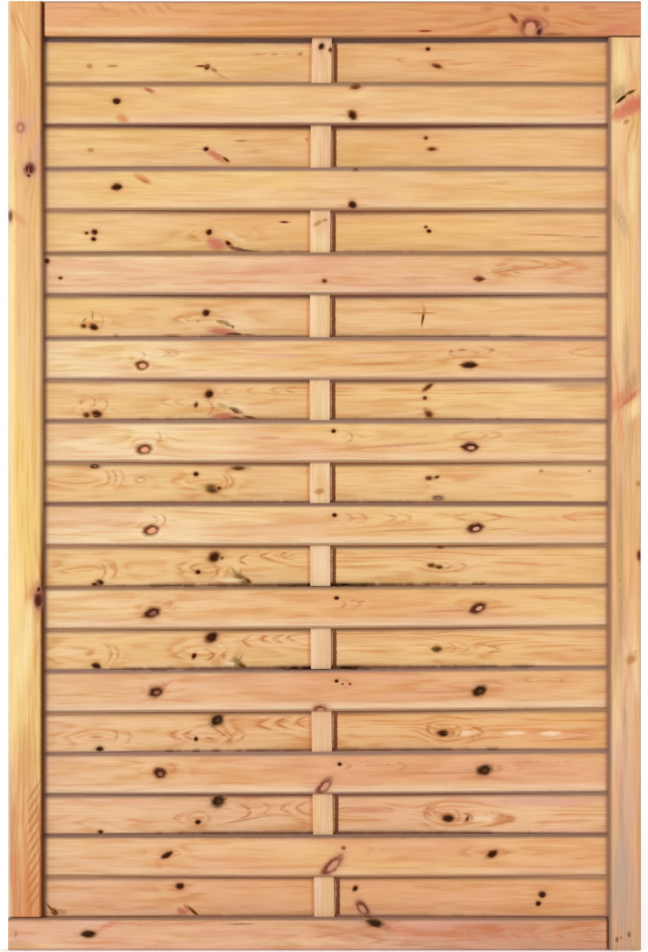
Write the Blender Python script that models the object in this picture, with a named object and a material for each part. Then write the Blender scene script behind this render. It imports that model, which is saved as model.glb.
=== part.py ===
"""Woven timber fence panel, 1.2 m wide and 1.8 m high.

Four planed members, each with a groove along its inner edge, butt round the corners one after
the other. Thin horizontal slats stand edge to edge in the grooves of the two stiles and are woven
round one upright batten: counted from the top, odd slats bow behind it and even slats in front.

Metres. X runs along the panel, +Z is up, and the front of the panel faces -Y. The origin is on
the outer face of the left stile, at half the panel's height.
"""

import math

import bmesh
import bpy

# Whole panel
PANEL_WIDTH = 1.200
PANEL_HEIGHT = 1.800

# Frame members
FRAME_DEPTH = 0.045
LEFT_STILE_FACE = 0.0665
RIGHT_STILE_FACE = 0.0615
TOP_RAIL_FACE = 0.0665
BOTTOM_RAIL_FACE = 0.0615
ARRIS_RADIUS = 0.004
ARRIS_STEPS = 2
GROOVE_DEPTH = 0.012
TENON_LENGTH = 0.011
TENON_SHOULDER = 0.008
RAIL_JOINT_GAP = 0.0012
STILE_JOINT_GAP = 0.0003

# Slats, counted from the top. Those behind the batten are narrower from one row downward
SLAT_COUNT = 21
SLAT_THICKNESS = 0.009
SLAT_ENTRY = 0.010
FIRST_NARROW_SLAT = 9
SLAT_NARROWING = 0.0036
TOP_LIP = 0.0067
EDGE_LAP = 0.007
EDGE_CHAMFER = 0.0025
BEND_STEPS = 6

# Slats of the lower half that have crept out of level: their right ends stand higher
CREEP_RISE = 0.0075
CREEP_HEIGHT = -0.400
CREEP_REACH = 0.420

# Centre batten, which stands a little left of the middle and is bent along its height
BATTEN_WIDTH = 0.038
BATTEN_THICKNESS = 0.012
BATTEN_TONGUE = 0.011
BATTEN_TOP_SHIFT = -0.0075
BATTEN_MIDDLE_SHIFT = -0.0115
BATTEN_FOOT_SHIFT = -0.0025
BATTEN_STEPS = 8
BEARING_MARGIN = 0.002

# Clearances
FIT_CLEARANCE = 0.0004
SEAT_GAP = 0.0003
CUTTER_MARGIN = 0.010

# Sizes that follow
GROOVE_WIDTH = SLAT_THICKNESS + 2 * FIT_CLEARANCE
INNER_WIDTH = PANEL_WIDTH - LEFT_STILE_FACE - RIGHT_STILE_FACE
INNER_TOP = PANEL_HEIGHT / 2 - TOP_RAIL_FACE
INNER_FOOT = BOTTOM_RAIL_FACE - PANEL_HEIGHT / 2
INNER_HEIGHT = INNER_TOP - INNER_FOOT
MIDDLE_X = LEFT_STILE_FACE + INNER_WIDTH / 2
MIDDLE_Z = (INNER_TOP + INNER_FOOT) / 2
NARROW_COUNT = len(range(FIRST_NARROW_SLAT, SLAT_COUNT + 1, 2))
SLAT_FACE = (INNER_HEIGHT - TOP_LIP + NARROW_COUNT * SLAT_NARROWING) / SLAT_COUNT
SLAT_BOW = (BATTEN_THICKNESS + SLAT_THICKNESS) / 2 + SEAT_GAP
BATTEN_SHIFTS = (BATTEN_TOP_SHIFT, BATTEN_MIDDLE_SHIFT, BATTEN_FOOT_SHIFT)
BEARING_HALF = BATTEN_WIDTH / 2 + max(abs(shift) for shift in BATTEN_SHIFTS) + BEARING_MARGIN


def clear_scene():
    for obj in list(bpy.data.objects):
        bpy.data.objects.remove(obj)


def pine(name, colour, roughness):
    """A dry, untreated softwood of one tone."""
    material = bpy.data.materials.new(name)
    material.use_nodes = True
    shader = material.node_tree.nodes["Principled BSDF"]
    shader.inputs["Base Color"].default_value = (*colour, 1.0)
    shader.inputs["Roughness"].default_value = roughness
    shader.inputs["Metallic"].default_value = 0.0
    material.diffuse_color = (*colour, 1.0)
    return material


def finished(name, bm, material, parent=None):
    """The object that holds this bmesh, with its faces pointing out."""
    bmesh.ops.recalc_face_normals(bm, faces=bm.faces)
    mesh = bpy.data.meshes.new(name)
    bm.to_mesh(mesh)
    bm.free()
    obj = bpy.data.objects.new(name, mesh)
    bpy.context.scene.collection.objects.link(obj)
    if material:
        obj.data.materials.append(material)
    obj.parent = parent
    return obj


def box(low, high):
    """A bmesh of the box between two corners."""
    bm = bmesh.new()
    bmesh.ops.create_cube(bm, size=1.0)
    size = [b - a for a, b in zip(low, high)]
    middle = [(a + b) / 2 for a, b in zip(low, high)]
    bmesh.ops.scale(bm, vec=size, verts=bm.verts)
    bmesh.ops.translate(bm, vec=middle, verts=bm.verts)
    return bm


def helper(name, bm, owner):
    """A shape that a Boolean on its owner reads, and that is no piece of the panel."""
    obj = finished(name, bm, None, owner)
    obj.hide_render = True
    obj.display_type = "WIRE"
    return obj


def boolean(obj, operation, other):
    modifier = obj.modifiers.new(other.name, "BOOLEAN")
    modifier.operation = operation
    modifier.solver = "EXACT"
    modifier.object = other


def frame_member(name, length, face, turn, corner, material, panel):
    """One member of the frame, in its own directions before it is turned about Y.

    X runs along it from its free end to the end that butts against the next member, and Z from
    its outer edge at 0 to its grooved edge. The butting end has a stub tenon, which stands in
    the groove of the next member.
    """
    bm = box((0, -FRAME_DEPTH / 2, 0), (length, FRAME_DEPTH / 2, face))
    arrises = [e for e in bm.edges if abs(e.verts[0].co.x - e.verts[1].co.x) > length / 2]
    bmesh.ops.bevel(
        bm, geom=arrises, offset=ARRIS_RADIUS, segments=ARRIS_STEPS, affect="EDGES", profile=0.5
    )
    member = finished(name, bm, material, panel)

    groove_low = (-CUTTER_MARGIN, -GROOVE_WIDTH / 2, face - GROOVE_DEPTH)
    groove_high = (length + CUTTER_MARGIN, GROOVE_WIDTH / 2, face + CUTTER_MARGIN)
    boolean(member, "DIFFERENCE", helper(name + "_groove", box(groove_low, groove_high), member))

    tenon_low = (length - CUTTER_MARGIN, -SLAT_THICKNESS / 2, TENON_SHOULDER)
    tenon_top = face - GROOVE_DEPTH - FIT_CLEARANCE
    tenon_high = (length + TENON_LENGTH, SLAT_THICKNESS / 2, tenon_top)
    boolean(member, "UNION", helper(name + "_tenon", box(tenon_low, tenon_high), member))

    member.location = corner
    member.rotation_euler = (0, math.radians(turn), 0)
    return member


def build_frame(panel):
    """The four members, each from its free corner round to the member that it butts against."""
    left_length = PANEL_HEIGHT - BOTTOM_RAIL_FACE - STILE_JOINT_GAP
    foot_length = PANEL_WIDTH - RIGHT_STILE_FACE - RAIL_JOINT_GAP
    right_length = PANEL_HEIGHT - TOP_RAIL_FACE - STILE_JOINT_GAP
    top_length = PANEL_WIDTH - LEFT_STILE_FACE - RAIL_JOINT_GAP
    top = PANEL_HEIGHT / 2
    yellow = pine("stile_pine", (0.80, 0.52, 0.21), 0.62)
    pale = pine("right_stile_pine", (0.78, 0.52, 0.26), 0.62)
    amber = pine("top_rail_pine", (0.71, 0.40, 0.16), 0.62)
    pink = pine("bottom_rail_pine", (0.66, 0.40, 0.22), 0.62)
    frame_member("left_stile", left_length, LEFT_STILE_FACE, 90, (0, 0, top), yellow, panel)
    frame_member("bottom_rail", foot_length, BOTTOM_RAIL_FACE, 0, (0, 0, -top), pink, panel)
    frame_member(
        "right_stile", right_length, RIGHT_STILE_FACE, -90, (PANEL_WIDTH, 0, -top), pale, panel
    )
    frame_member("top_rail", top_length, TOP_RAIL_FACE, 180, (PANEL_WIDTH, 0, top), amber, panel)


def batten_shift(height):
    """How far the batten's centre line stands from the slats' middle, at a height above its own."""
    along = 2 * height / INNER_HEIGHT
    lean = (BATTEN_TOP_SHIFT - BATTEN_FOOT_SHIFT) / 2
    ends = (BATTEN_TOP_SHIFT + BATTEN_FOOT_SHIFT) / 2
    return BATTEN_MIDDLE_SHIFT + lean * along + (ends - BATTEN_MIDDLE_SHIFT) * along * along


def build_batten(panel):
    """The upright batten, with a tongue at each end that stands in a rail's groove."""
    half_height = INNER_HEIGHT / 2 - SEAT_GAP
    bm = box(
        (-BATTEN_WIDTH / 2, -BATTEN_THICKNESS / 2, -half_height),
        (BATTEN_WIDTH / 2, BATTEN_THICKNESS / 2, half_height),
    )
    for step in range(1, BATTEN_STEPS):
        level = half_height * (2 * step / BATTEN_STEPS - 1)
        bmesh.ops.bisect_plane(
            bm, geom=bm.verts[:] + bm.edges[:] + bm.faces[:], plane_co=(0, 0, level), plane_no=(0, 0, 1)
        )
    for vert in bm.verts:
        vert.co.x += batten_shift(vert.co.z)
    batten = finished("centre_batten", bm, pine("batten_pine", (0.85, 0.60, 0.34), 0.62), panel)

    for end, side in (("top", 1), ("foot", -1)):
        shift = batten_shift(side * half_height)
        inner = side * (half_height - CUTTER_MARGIN)
        outer = side * (half_height + BATTEN_TONGUE)
        low = (shift - BATTEN_WIDTH / 2 + SEAT_GAP, -SLAT_THICKNESS / 2, min(inner, outer))
        high = (shift + BATTEN_WIDTH / 2 - SEAT_GAP, SLAT_THICKNESS / 2, max(inner, outer))
        boolean(batten, "UNION", helper("batten_tongue_" + end, box(low, high), batten))
    batten.location = (MIDDLE_X, 0, MIDDLE_Z)


def bow(x):
    """A slat's share of its full bow: none at the stiles, all of it across the batten."""
    reach = INNER_WIDTH / 2 - BEARING_HALF
    along = min(max((INNER_WIDTH / 2 - abs(x)) / reach, 0.0), 1.0)
    return along * along * (3 - 2 * along)


def creep(x, height):
    """How far the slats have moved up at this place, x being measured from the middle."""
    from_peak = min(abs(height - CREEP_HEIGHT) / CREEP_REACH, 1.0)
    share = (1 + math.cos(math.pi * from_peak)) / 2
    return CREEP_RISE * share * x / INNER_WIDTH


def slat_face(number):
    """The width of a slat's front face."""
    narrow = number % 2 == 1 and number >= FIRST_NARROW_SLAT
    return SLAT_FACE - SLAT_NARROWING if narrow else SLAT_FACE


def slat_foot(number):
    """The height of the line on which a slat's front face meets what stands below it."""
    return INNER_FOOT + sum(slat_face(below) for below in range(number + 1, SLAT_COUNT + 1))


def slat_section(face, in_front, top_lap, foot_lap):
    """(depth, height) points round a slat's end, its middle at height 0.

    Front edges meet on the line between two slats. Behind that line each slat that passes behind
    the batten keeps a lip, which is its lap, and each slat that passes in front of it is rebated
    for the lip, which is a lap below 0.
    """
    half = SLAT_THICKNESS / 2
    front_edge = face / 2 - FIT_CLEARANCE / 2
    step = -FIT_CLEARANCE / 2 if in_front else FIT_CLEARANCE / 2
    points = []
    for side, lap in ((1, top_lap), (-1, foot_lap)):
        rear_edge = front_edge + lap
        edge = [(-half, front_edge - EDGE_CHAMFER), (-half + EDGE_CHAMFER, front_edge)]
        if lap:
            edge += [(step, front_edge), (step, rear_edge)]
        edge += [(half - EDGE_CHAMFER, rear_edge), (half, rear_edge - EDGE_CHAMFER)]
        edge = [(depth, side * height) for depth, height in edge]
        points += edge if side > 0 else reversed(edge)
    return points


def bend_stations():
    """Distances from the middle at which a slat's length is divided, left to right."""
    bent = INNER_WIDTH / 2 - BEARING_HALF
    right = [BEARING_HALF + bent * step / BEND_STEPS for step in range(BEND_STEPS + 1)]
    return [-x for x in reversed(right)] + right


def build_slat(number, material, panel):
    in_front = number % 2 == 0
    face = slat_face(number)
    height = slat_foot(number) + face / 2
    half_length = INNER_WIDTH / 2 + SLAT_ENTRY
    top_lap = -EDGE_LAP if in_front else EDGE_LAP
    foot_lap = top_lap
    if number == 1:
        top_lap = TOP_LIP
    if number == SLAT_COUNT:
        foot_lap = 0
    bm = bmesh.new()
    section = slat_section(face, in_front, top_lap, foot_lap)
    end = bm.faces.new([bm.verts.new((-half_length, y, z)) for y, z in section])
    grown = bmesh.ops.extrude_face_region(bm, geom=[end])["geom"]
    tip = [item for item in grown if isinstance(item, bmesh.types.BMVert)]
    bmesh.ops.translate(bm, vec=(2 * half_length, 0, 0), verts=tip)
    for station in bend_stations():
        bmesh.ops.bisect_plane(
            bm, geom=bm.verts[:] + bm.edges[:] + bm.faces[:], plane_co=(station, 0, 0), plane_no=(1, 0, 0)
        )
    layer = -SLAT_BOW if in_front else SLAT_BOW
    for vert in bm.verts:
        vert.co.y += layer * bow(vert.co.x)
        vert.co.z += creep(vert.co.x, height + vert.co.z)
    slat = finished("slat_%02d" % number, bm, material, panel)
    slat.location = (MIDDLE_X, 0, height)


def build_slats(panel):
    golden = pine("rear_slat_pine", (0.76, 0.46, 0.20), 0.6)
    rosy = pine("front_slat_pine", (0.78, 0.48, 0.23), 0.6)
    for number in range(1, SLAT_COUNT + 1):
        build_slat(number, rosy if number % 2 == 0 else golden, panel)


clear_scene()
fence_panel = bpy.data.objects.new("fence_panel", None)
bpy.context.scene.collection.objects.link(fence_panel)
build_frame(fence_panel)
build_batten(fence_panel)
build_slats(fence_panel)
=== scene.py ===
"""The looks of a woven timber fence panel: planed pine members round twenty-one thin slats.

Metres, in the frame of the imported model: X along the panel, +Z up, and the front faces -Y.
"""

import math
from collections import namedtuple

import bmesh
import bpy
from mathutils import Matrix, Vector


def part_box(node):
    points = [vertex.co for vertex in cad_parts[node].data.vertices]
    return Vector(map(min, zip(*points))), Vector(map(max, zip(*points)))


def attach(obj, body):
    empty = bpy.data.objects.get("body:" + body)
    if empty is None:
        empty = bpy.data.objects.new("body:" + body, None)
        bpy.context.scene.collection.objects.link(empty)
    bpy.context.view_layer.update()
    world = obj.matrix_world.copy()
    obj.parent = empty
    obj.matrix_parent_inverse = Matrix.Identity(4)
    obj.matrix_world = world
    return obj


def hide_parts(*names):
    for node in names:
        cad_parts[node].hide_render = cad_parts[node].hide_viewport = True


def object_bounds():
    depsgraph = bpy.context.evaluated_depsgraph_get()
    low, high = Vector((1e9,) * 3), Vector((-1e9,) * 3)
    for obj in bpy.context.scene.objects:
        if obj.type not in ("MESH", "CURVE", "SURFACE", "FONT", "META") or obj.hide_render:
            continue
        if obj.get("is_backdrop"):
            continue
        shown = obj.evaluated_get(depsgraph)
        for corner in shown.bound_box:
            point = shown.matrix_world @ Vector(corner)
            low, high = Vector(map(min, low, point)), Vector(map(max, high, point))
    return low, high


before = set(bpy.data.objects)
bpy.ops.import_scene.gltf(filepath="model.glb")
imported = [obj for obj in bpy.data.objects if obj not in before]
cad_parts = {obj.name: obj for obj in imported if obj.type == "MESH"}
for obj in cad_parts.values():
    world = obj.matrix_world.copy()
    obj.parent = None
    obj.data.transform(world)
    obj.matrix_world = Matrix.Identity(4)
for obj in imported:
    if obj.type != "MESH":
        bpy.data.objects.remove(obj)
cad_low, cad_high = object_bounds()

# Camera
# It stands square to the panel, far off and level with its middle. The panel's edges fall where
# the photograph has them.
PHOTO_WIDTH, PHOTO_HEIGHT = 648, 952
PANEL_LEFT, PANEL_RIGHT, PANEL_TOP, PANEL_FOOT = 9.3, 639.8, 1.0, 950.5
EYE_DISTANCE = 7.0
SENSOR = 36.0

panel_width = cad_high.x - cad_low.x
metres_per_pixel = (cad_high.z - cad_low.z) / (PANEL_FOOT - PANEL_TOP)


def on_front(across, down):
    """Where a pixel of the photograph falls on the frame's front faces."""
    x = cad_low.x + (across - PANEL_LEFT) * panel_width / (PANEL_RIGHT - PANEL_LEFT)
    return x, cad_high.z - (down - PANEL_TOP) * metres_per_pixel


view_x, view_z = on_front(PHOTO_WIDTH / 2, PHOTO_HEIGHT / 2)
eye = Vector((view_x, cad_low.y - EYE_DISTANCE, view_z))

camera = bpy.data.objects.new("camera", bpy.data.cameras.new("camera"))
camera.data.sensor_width = SENSOR
camera.data.lens = EYE_DISTANCE * SENSOR / (PHOTO_HEIGHT * metres_per_pixel)
camera.location = eye
camera.rotation_euler = (math.radians(90), 0, 0)
bpy.context.scene.collection.objects.link(camera)
bpy.context.scene.camera = camera


def seen_at(across, down, depth):
    """Where a pixel of the photograph falls, at a depth behind the frame's front faces."""
    x, z = on_front(across, down)
    spread = (EYE_DISTANCE + depth) / EYE_DISTANCE
    return eye.x + (x - eye.x) * spread, eye.z + (z - eye.z) * spread


# Frame
# Four planed pine members, 45 mm deep, with rounded long arrises and barely eased ends. Each one
# butts against the side of the next, by a stub tenon in the groove along every inner edge. Grime
# and painted shade darken the grooved arrises and the joints, and the outer arrises carry a line
# too: paler on the left stile, a painted highlight, and darker on the others, painted shade on the
# right stile.
ARRIS_RADIUS = 0.004
END_EASING = 0.0006
GROOVE_WIDTH = 0.0098
GROOVE_DEPTH = 0.012
TENON_LENGTH = 0.011
TENON_SHOULDER = 0.008
TENON_THICKNESS = 0.009
CUTTER_MARGIN = 0.010
ARRIS_STEPS, EASING_STEPS = 4, 2
SHARP_ANGLE = 35

frame_depth = cad_high.y - cad_low.y


def box(low, high):
    bm = bmesh.new()
    bmesh.ops.create_cube(bm, size=1.0)
    bmesh.ops.scale(bm, vec=[b - a for a, b in zip(low, high)], verts=bm.verts)
    bmesh.ops.translate(bm, vec=[(a + b) / 2 for a, b in zip(low, high)], verts=bm.verts)
    return bm


def bevel(bm, edges, reach, segments):
    bmesh.ops.bevel(bm, geom=edges, offset=reach, segments=segments, affect="EDGES", profile=0.5, material=-1)


def long_edges(bm, least):
    return [e for e in bm.edges if abs(e.verts[0].co.x - e.verts[1].co.x) > least]


def object_of(name, bm):
    bmesh.ops.recalc_face_normals(bm, faces=bm.faces)
    mesh = bpy.data.meshes.new(name)
    bm.to_mesh(mesh)
    bm.free()
    obj = bpy.data.objects.new(name, mesh)
    bpy.context.scene.collection.objects.link(obj)
    return obj


def combine(obj, operation, other):
    """Cuts another shape out of this one, or joins it on, and then deletes it."""
    modifier = obj.modifiers.new("combine", "BOOLEAN")
    modifier.operation = operation
    modifier.solver = "EXACT"
    modifier.object = other
    bpy.context.view_layer.update()
    evaluated = obj.evaluated_get(bpy.context.evaluated_depsgraph_get())
    old = obj.data
    obj.data = bpy.data.meshes.new_from_object(evaluated)
    obj.modifiers.clear()
    bpy.data.meshes.remove(old)
    bpy.data.objects.remove(other)


def keep_board_places(mesh):
    """Keeps each point's place in the straight board, which its grain is drawn in."""
    places = mesh.attributes.new("board", "FLOAT_VECTOR", "POINT")
    for vert, place in zip(mesh.vertices, places.data):
        place.vector = vert.co


def dress(piece, stands_for, slot_name):
    piece.data.shade_smooth()
    piece.data.set_sharp_from_angle(angle=math.radians(SHARP_ANGLE))
    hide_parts(stands_for)
    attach(piece, "root")


def planed_member(name, length, face, turned, material):
    """One member, along X from its free end, with Z from its outer edge to its grooved edge."""
    bm = box((0, -frame_depth / 2, 0), (length, frame_depth / 2, face))
    bevel(bm, long_edges(bm, length / 2), ARRIS_RADIUS, ARRIS_STEPS)
    bevel(bm, [e for e in bm.edges if e.verts[0].co.x == e.verts[1].co.x], END_EASING, EASING_STEPS)
    member = object_of(name + "_timber", bm)
    low = (-CUTTER_MARGIN, -GROOVE_WIDTH / 2, face - GROOVE_DEPTH)
    high = (length + CUTTER_MARGIN, GROOVE_WIDTH / 2, face + CUTTER_MARGIN)
    combine(member, "DIFFERENCE", object_of("groove", box(low, high)))
    low = (length - CUTTER_MARGIN, -TENON_THICKNESS / 2, TENON_SHOULDER)
    high = (length + TENON_LENGTH, TENON_THICKNESS / 2, face - GROOVE_DEPTH - END_EASING)
    combine(member, "UNION", object_of("tenon", box(low, high)))
    keep_board_places(member.data)
    member.data.materials.clear()
    member.data.materials.append(material)
    member.data.transform(turned)
    dress(member, name, "stile_pine" if "stile" in name else "rail_pine")


# Pine is the only material of the panel. Its grain is drawn in each board's own straight
# directions, kept in the attribute "board", so it bends with a slat: X along the board, Y through
# it and Z across it. Rings run round a pith beside the board, and swell round its knots.
def node(tree, kind, **settings):
    made = tree.nodes.new(kind)
    for key, value in settings.items():
        setattr(made, key, value)
    return made


class Level:
    """What a socket puts out, or a plain value. Arithmetic on it adds maths nodes to its tree."""

    def __init__(self, tree, source):
        self.tree = tree
        self.source = source

    def __add__(self, other):
        return maths("ADD", self, other)

    def __sub__(self, other):
        return maths("SUBTRACT", self, other)

    def __rsub__(self, other):
        return maths("SUBTRACT", other, self)

    def __mul__(self, other):
        return maths("MULTIPLY", self, other)

    def __truediv__(self, other):
        return maths("DIVIDE", self, other)

    def __pow__(self, power):
        return maths("POWER", self, power)

    def __rpow__(self, base):
        return maths("POWER", base, self)

    def __abs__(self):
        return maths("ABSOLUTE", self)


def feed(socket, value):
    """Links a socket to a level's own socket, or gives it a plain value."""
    if isinstance(value, Level):
        value = value.source
    if isinstance(value, bpy.types.NodeSocket):
        socket.id_data.links.new(value, socket)
    else:
        socket.default_value = value


def fed(kind, sockets, values, **settings):
    """Makes a node, feeds its sockets by place or name, and gives what it puts out as levels."""
    tree = next(value.tree for value in values if isinstance(value, Level))
    made = node(tree, kind, **settings)
    for socket, value in zip(sockets, values):
        feed(made.inputs[socket], value)
    return [Level(tree, socket) for socket in made.outputs]


def maths(operation, *values):
    return fed("ShaderNodeMath", range(len(values)), values, operation=operation)[0]


def vector_maths(operation, *values):
    return fed("ShaderNodeVectorMath", range(len(values)), values, operation=operation)[0]


def scaled(vector, factor):
    return fed("ShaderNodeVectorMath", (0, "Scale"), (vector, factor), operation="SCALE")[0]


def mixed(share, first, second, mode="MIX"):
    return fed("ShaderNodeMix", (0, 6, 7), (share, first, second), data_type="RGBA", blend_type=mode)[2]


def tinted(colour, tint):
    return mixed(1.0, colour, tint, "MULTIPLY")


def eased(value, low, high, start=0.0, end=1.0):
    """A smooth step of a value from start at low to end at high."""
    values = (value, low, high, start, end)
    return fed("ShaderNodeMapRange", range(len(values)), values, interpolation_type="SMOOTHSTEP")[0]


def fading(value, low, high):
    return eased(value, low, high, 1.0, 0.0)


def highest(first, second):
    return maths("MAXIMUM", first, second)


def plus_share(base, value, share):
    """The base, with a share of the value added."""
    return maths("MULTIPLY_ADD", value, share, base)


def hypotenuse(first, second):
    return maths("SQRT", first ** 2.0 + second ** 2.0)


def noises_of(place, waves, detail, roughness=0.5):
    """Grey and coloured noise, from about 0.3 to 0.7, with so many waves to the metre each way."""
    values = (vector_maths("MULTIPLY", place, waves), 1.0, detail, roughness)
    return fed("ShaderNodeTexNoise", ("Vector", "Scale", "Detail", "Roughness"), values)[:2]


def noise_of(place, *noise):
    return noises_of(place, *noise)[0]


Place = namedtuple("Place", "x y z")


def split(vector):
    return Place(*fed("ShaderNodeSeparateXYZ", (0,), (vector,)))


def from_centre(given):
    return split(vector_maths("SUBTRACT", given["Vector"], given["Centre"]))


def turned_by(lean, x, z):
    """Lengths along and across a leaning mark, from those along and across the board."""
    sine = maths("SINE", lean)
    cosine = maths("COSINE", lean)
    return x * cosine + z * sine, z * cosine - x * sine


SOCKET_KINDS = {
    **dict.fromkeys(("Vector", "Centre"), "NodeSocketVector"),
    **dict.fromkeys(("Color", "Heart", "Bark", "Halo", "Dirt"), "NodeSocketColor"),
}


def new_group(name, inputs, outputs):
    """A shader node group, with what comes in as levels, and the sockets of what goes out."""
    tree = bpy.data.node_groups.new(name, "ShaderNodeTree")
    for in_out, titles in (("INPUT", inputs), ("OUTPUT", outputs)):
        for title in titles:
            kind = SOCKET_KINDS.get(title, "NodeSocketFloat")
            tree.interface.new_socket(title, in_out=in_out, socket_type=kind)
    given = {socket.name: Level(tree, socket) for socket in node(tree, "NodeGroupInput").outputs}
    return tree, given, node(tree, "NodeGroupOutput").inputs


def place_group(tree, group, **values):
    """A use of a node group. An underscore in a keyword stands for a space in a socket's name."""
    made = node(tree, "ShaderNodeGroup", node_tree=group)
    for title, value in values.items():
        feed(made.inputs[title.replace("_", " ")], value)
    return {socket.name: Level(tree, socket) for socket in made.outputs}


def tone(red, green, blue):
    """A colour as it looks on screen, from 0 to 255 a channel, as a linear one."""
    linear = []
    for level in (red, green, blue):
        share = level / 255
        linear.append(share / 12.92 if share <= 0.04045 else ((share + 0.055) / 1.055) ** 2.4)
    return (*linear, 1.0)


# A noise is its waves to the metre along, through and across a board, its detail and its roughness.
SLOW_NOISE = ((3.2, 8.0, 17.0), 2.0)
QUICK_NOISE = ((16.0, 60.0, 90.0), 1.0)
BROAD_NOISE = ((8.0, 20.0, 64.0), 2.0, 0.55)
FIBRE_NOISE = ((14.0, 200.0, 300.0), 1.5, 0.6)
NOISE_MIDDLE = 0.5
NOISE_STEP = (7.3, 3.1, 5.7)
QUICK_WANDER = 0.55
RING_RISES, RING_CREST = 0.2, 0.74
LATE_PATCHES = (0.4, 0.6, 0.2, 1.0)
TONE_PATCHES = (0.34, 0.66)
BLUSH_PATCHES = (0.44, 0.64)
GOLD_PATCHES = (0.4, 0.62)


def make_rings():
    """Growth rings: dark late wood, broad tone and fine fibre, in a board's own directions."""
    tree, given, out = new_group(
        "growth_rings", ["Vector", "Pith Depth", "Pith Height", "Ring Width", "Wander", "Swell", "Seed"],
        ["Late", "Tone", "Blush", "Gold", "Fibre"],
    )
    place = vector_maths("ADD", given["Vector"], scaled(NOISE_STEP, given["Seed"]))
    own = split(given["Vector"])
    rings = hypotenuse(own.y - given["Pith Depth"], own.z - given["Pith Height"]) / given["Ring Width"]
    bend, gold, blush = fed("ShaderNodeSeparateColor", (0,), noises_of(place, *SLOW_NOISE)[1:])
    path = plus_share(rings, bend - NOISE_MIDDLE, given["Wander"])
    path = plus_share(path, noise_of(place, *QUICK_NOISE) - NOISE_MIDDLE, QUICK_WANDER)
    phase = maths("FRACT", path + given["Swell"])
    broad = noise_of(place, *BROAD_NOISE)
    ridge = eased(phase, RING_RISES, RING_CREST) * fading(phase, RING_CREST, 1.0)
    feed(out["Late"], ridge * eased(broad, *LATE_PATCHES))
    feed(out["Tone"], eased(broad, *TONE_PATCHES))
    feed(out["Blush"], eased(blush, *BLUSH_PATCHES))
    feed(out["Gold"], eased(gold, *GOLD_PATCHES))
    feed(out["Fibre"], noise_of(place, *FIBRE_NOISE))
    return tree


SWELL_FALL = 0.3679


def make_figure():
    """A swelling of the rings, pointed along the grain, as extra rings at its middle."""
    tree, given, out = new_group(
        "figure", ["Vector", "Centre", "Left", "Right", "Height", "Rings"], ["Swell"]
    )
    off = from_centre(given)
    along = highest(off.x / given["Right"], off.x / (given["Left"] * -1.0))
    lens = along ** 2.0 + abs(off.z) / given["Height"]
    feed(out["Swell"], SWELL_FALL ** lens * given["Rings"])
    return tree


# A branch slants through its board, its heart lies off its middle, and it frays along the grain.
BRANCH_SLANT = 0.2
HEART_ALONG, HEART_UNDER = 0.1, 0.16
TAIL_LENGTH, TAIL_HEIGHT = 6.0, 0.9
TAIL_FADES = (0.25, 1.0)


def make_branch():
    """How far a point lies from a knot's middle and from its heart, in shares of its radius."""
    tree, given, out = new_group(
        "branch", ["Vector", "Centre", "Radius", "Stretch", "Lean", "Point", "Heart Size", "Ragged"],
        ["Distance", "Heart Distance", "Tail"],
    )
    radius, ragged = given["Radius"], given["Ragged"]
    off = from_centre(given)
    tail = abs(off.x) / (radius * TAIL_LENGTH) + abs(off.z) / (radius * TAIL_HEIGHT)
    feed(out["Tail"], fading(tail + ragged, *TAIL_FADES))
    along, over = turned_by(given["Lean"], plus_share(off.x, off.y, BRANCH_SLANT), off.z)
    along = along / (given["Stretch"] * radius)
    over = over / radius
    along_squared = along ** 2.0
    rounded = maths("SQRT", along_squared + over ** 2.0)
    pointed = abs(over) + along_squared
    reach = fed("ShaderNodeMix", (0, 2, 3), (given["Point"], rounded, pointed), data_type="FLOAT")[0]
    feed(out["Distance"], reach + ragged)
    heart = hypotenuse(along - HEART_ALONG, over + HEART_UNDER)
    feed(out["Heart Distance"], heart / given["Heart Size"] + ragged)
    return tree


# By shares of a knot's radius, and its heart by shares of its own.
HALO_FADES = (0.8, 2.2)
BARK_FADES = (0.55, 1.4)
HEART_FADES = (0.55, 1.25)


def make_knot():
    """The colours of one knot laid over the wood: a soft halo, a bark ring and the heart in it."""
    tree, given, out = new_group(
        "knot",
        ["Color", "Distance", "Heart Distance", "Tail", "Heart", "Bark", "Halo", "Halo Share", "Share"],
        ["Color", "Mask"],
    )
    halo = highest(fading(given["Distance"], *HALO_FADES), given["Tail"]) * given["Halo Share"]
    solid = fading(given["Distance"], *BARK_FADES) * given["Share"]
    inside = mixed(fading(given["Heart Distance"], *HEART_FADES), given["Bark"], given["Heart"])
    feed(out["Color"], mixed(solid, mixed(halo, given["Color"], given["Halo"]), inside))
    feed(out["Mask"], solid)
    return tree


STAIN_WANDER = 0.5
STAIN_FADES = (0.25, 1.1)
GAP_FADES = (-0.03, 0.08)


def make_stain():
    """A long soft patch of another colour, such as resin or heartwood, as a mask."""
    tree, given, out = new_group(
        "stain", ["Vector", "Centre", "Length", "Height", "Lean", "Rough", "Broken"], ["Mask"]
    )
    off = from_centre(given)
    along, over = turned_by(given["Lean"], off.x, off.z)
    reach = hypotenuse(along / given["Length"], over / given["Height"])
    whole = fading(plus_share(reach, given["Rough"], STAIN_WANDER), *STAIN_FADES)
    gaps = fading(given["Rough"], *GAP_FADES) * given["Broken"]
    feed(out["Mask"], whole * (1.0 - gaps))
    return tree


ARC_WANDER = 0.006
ARC_CORE = 0.1
ARC_FADES = (0.4, 1.2)
ARC_BREAKS = (-0.12, 0.1, 0.35, 1.0)


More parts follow.
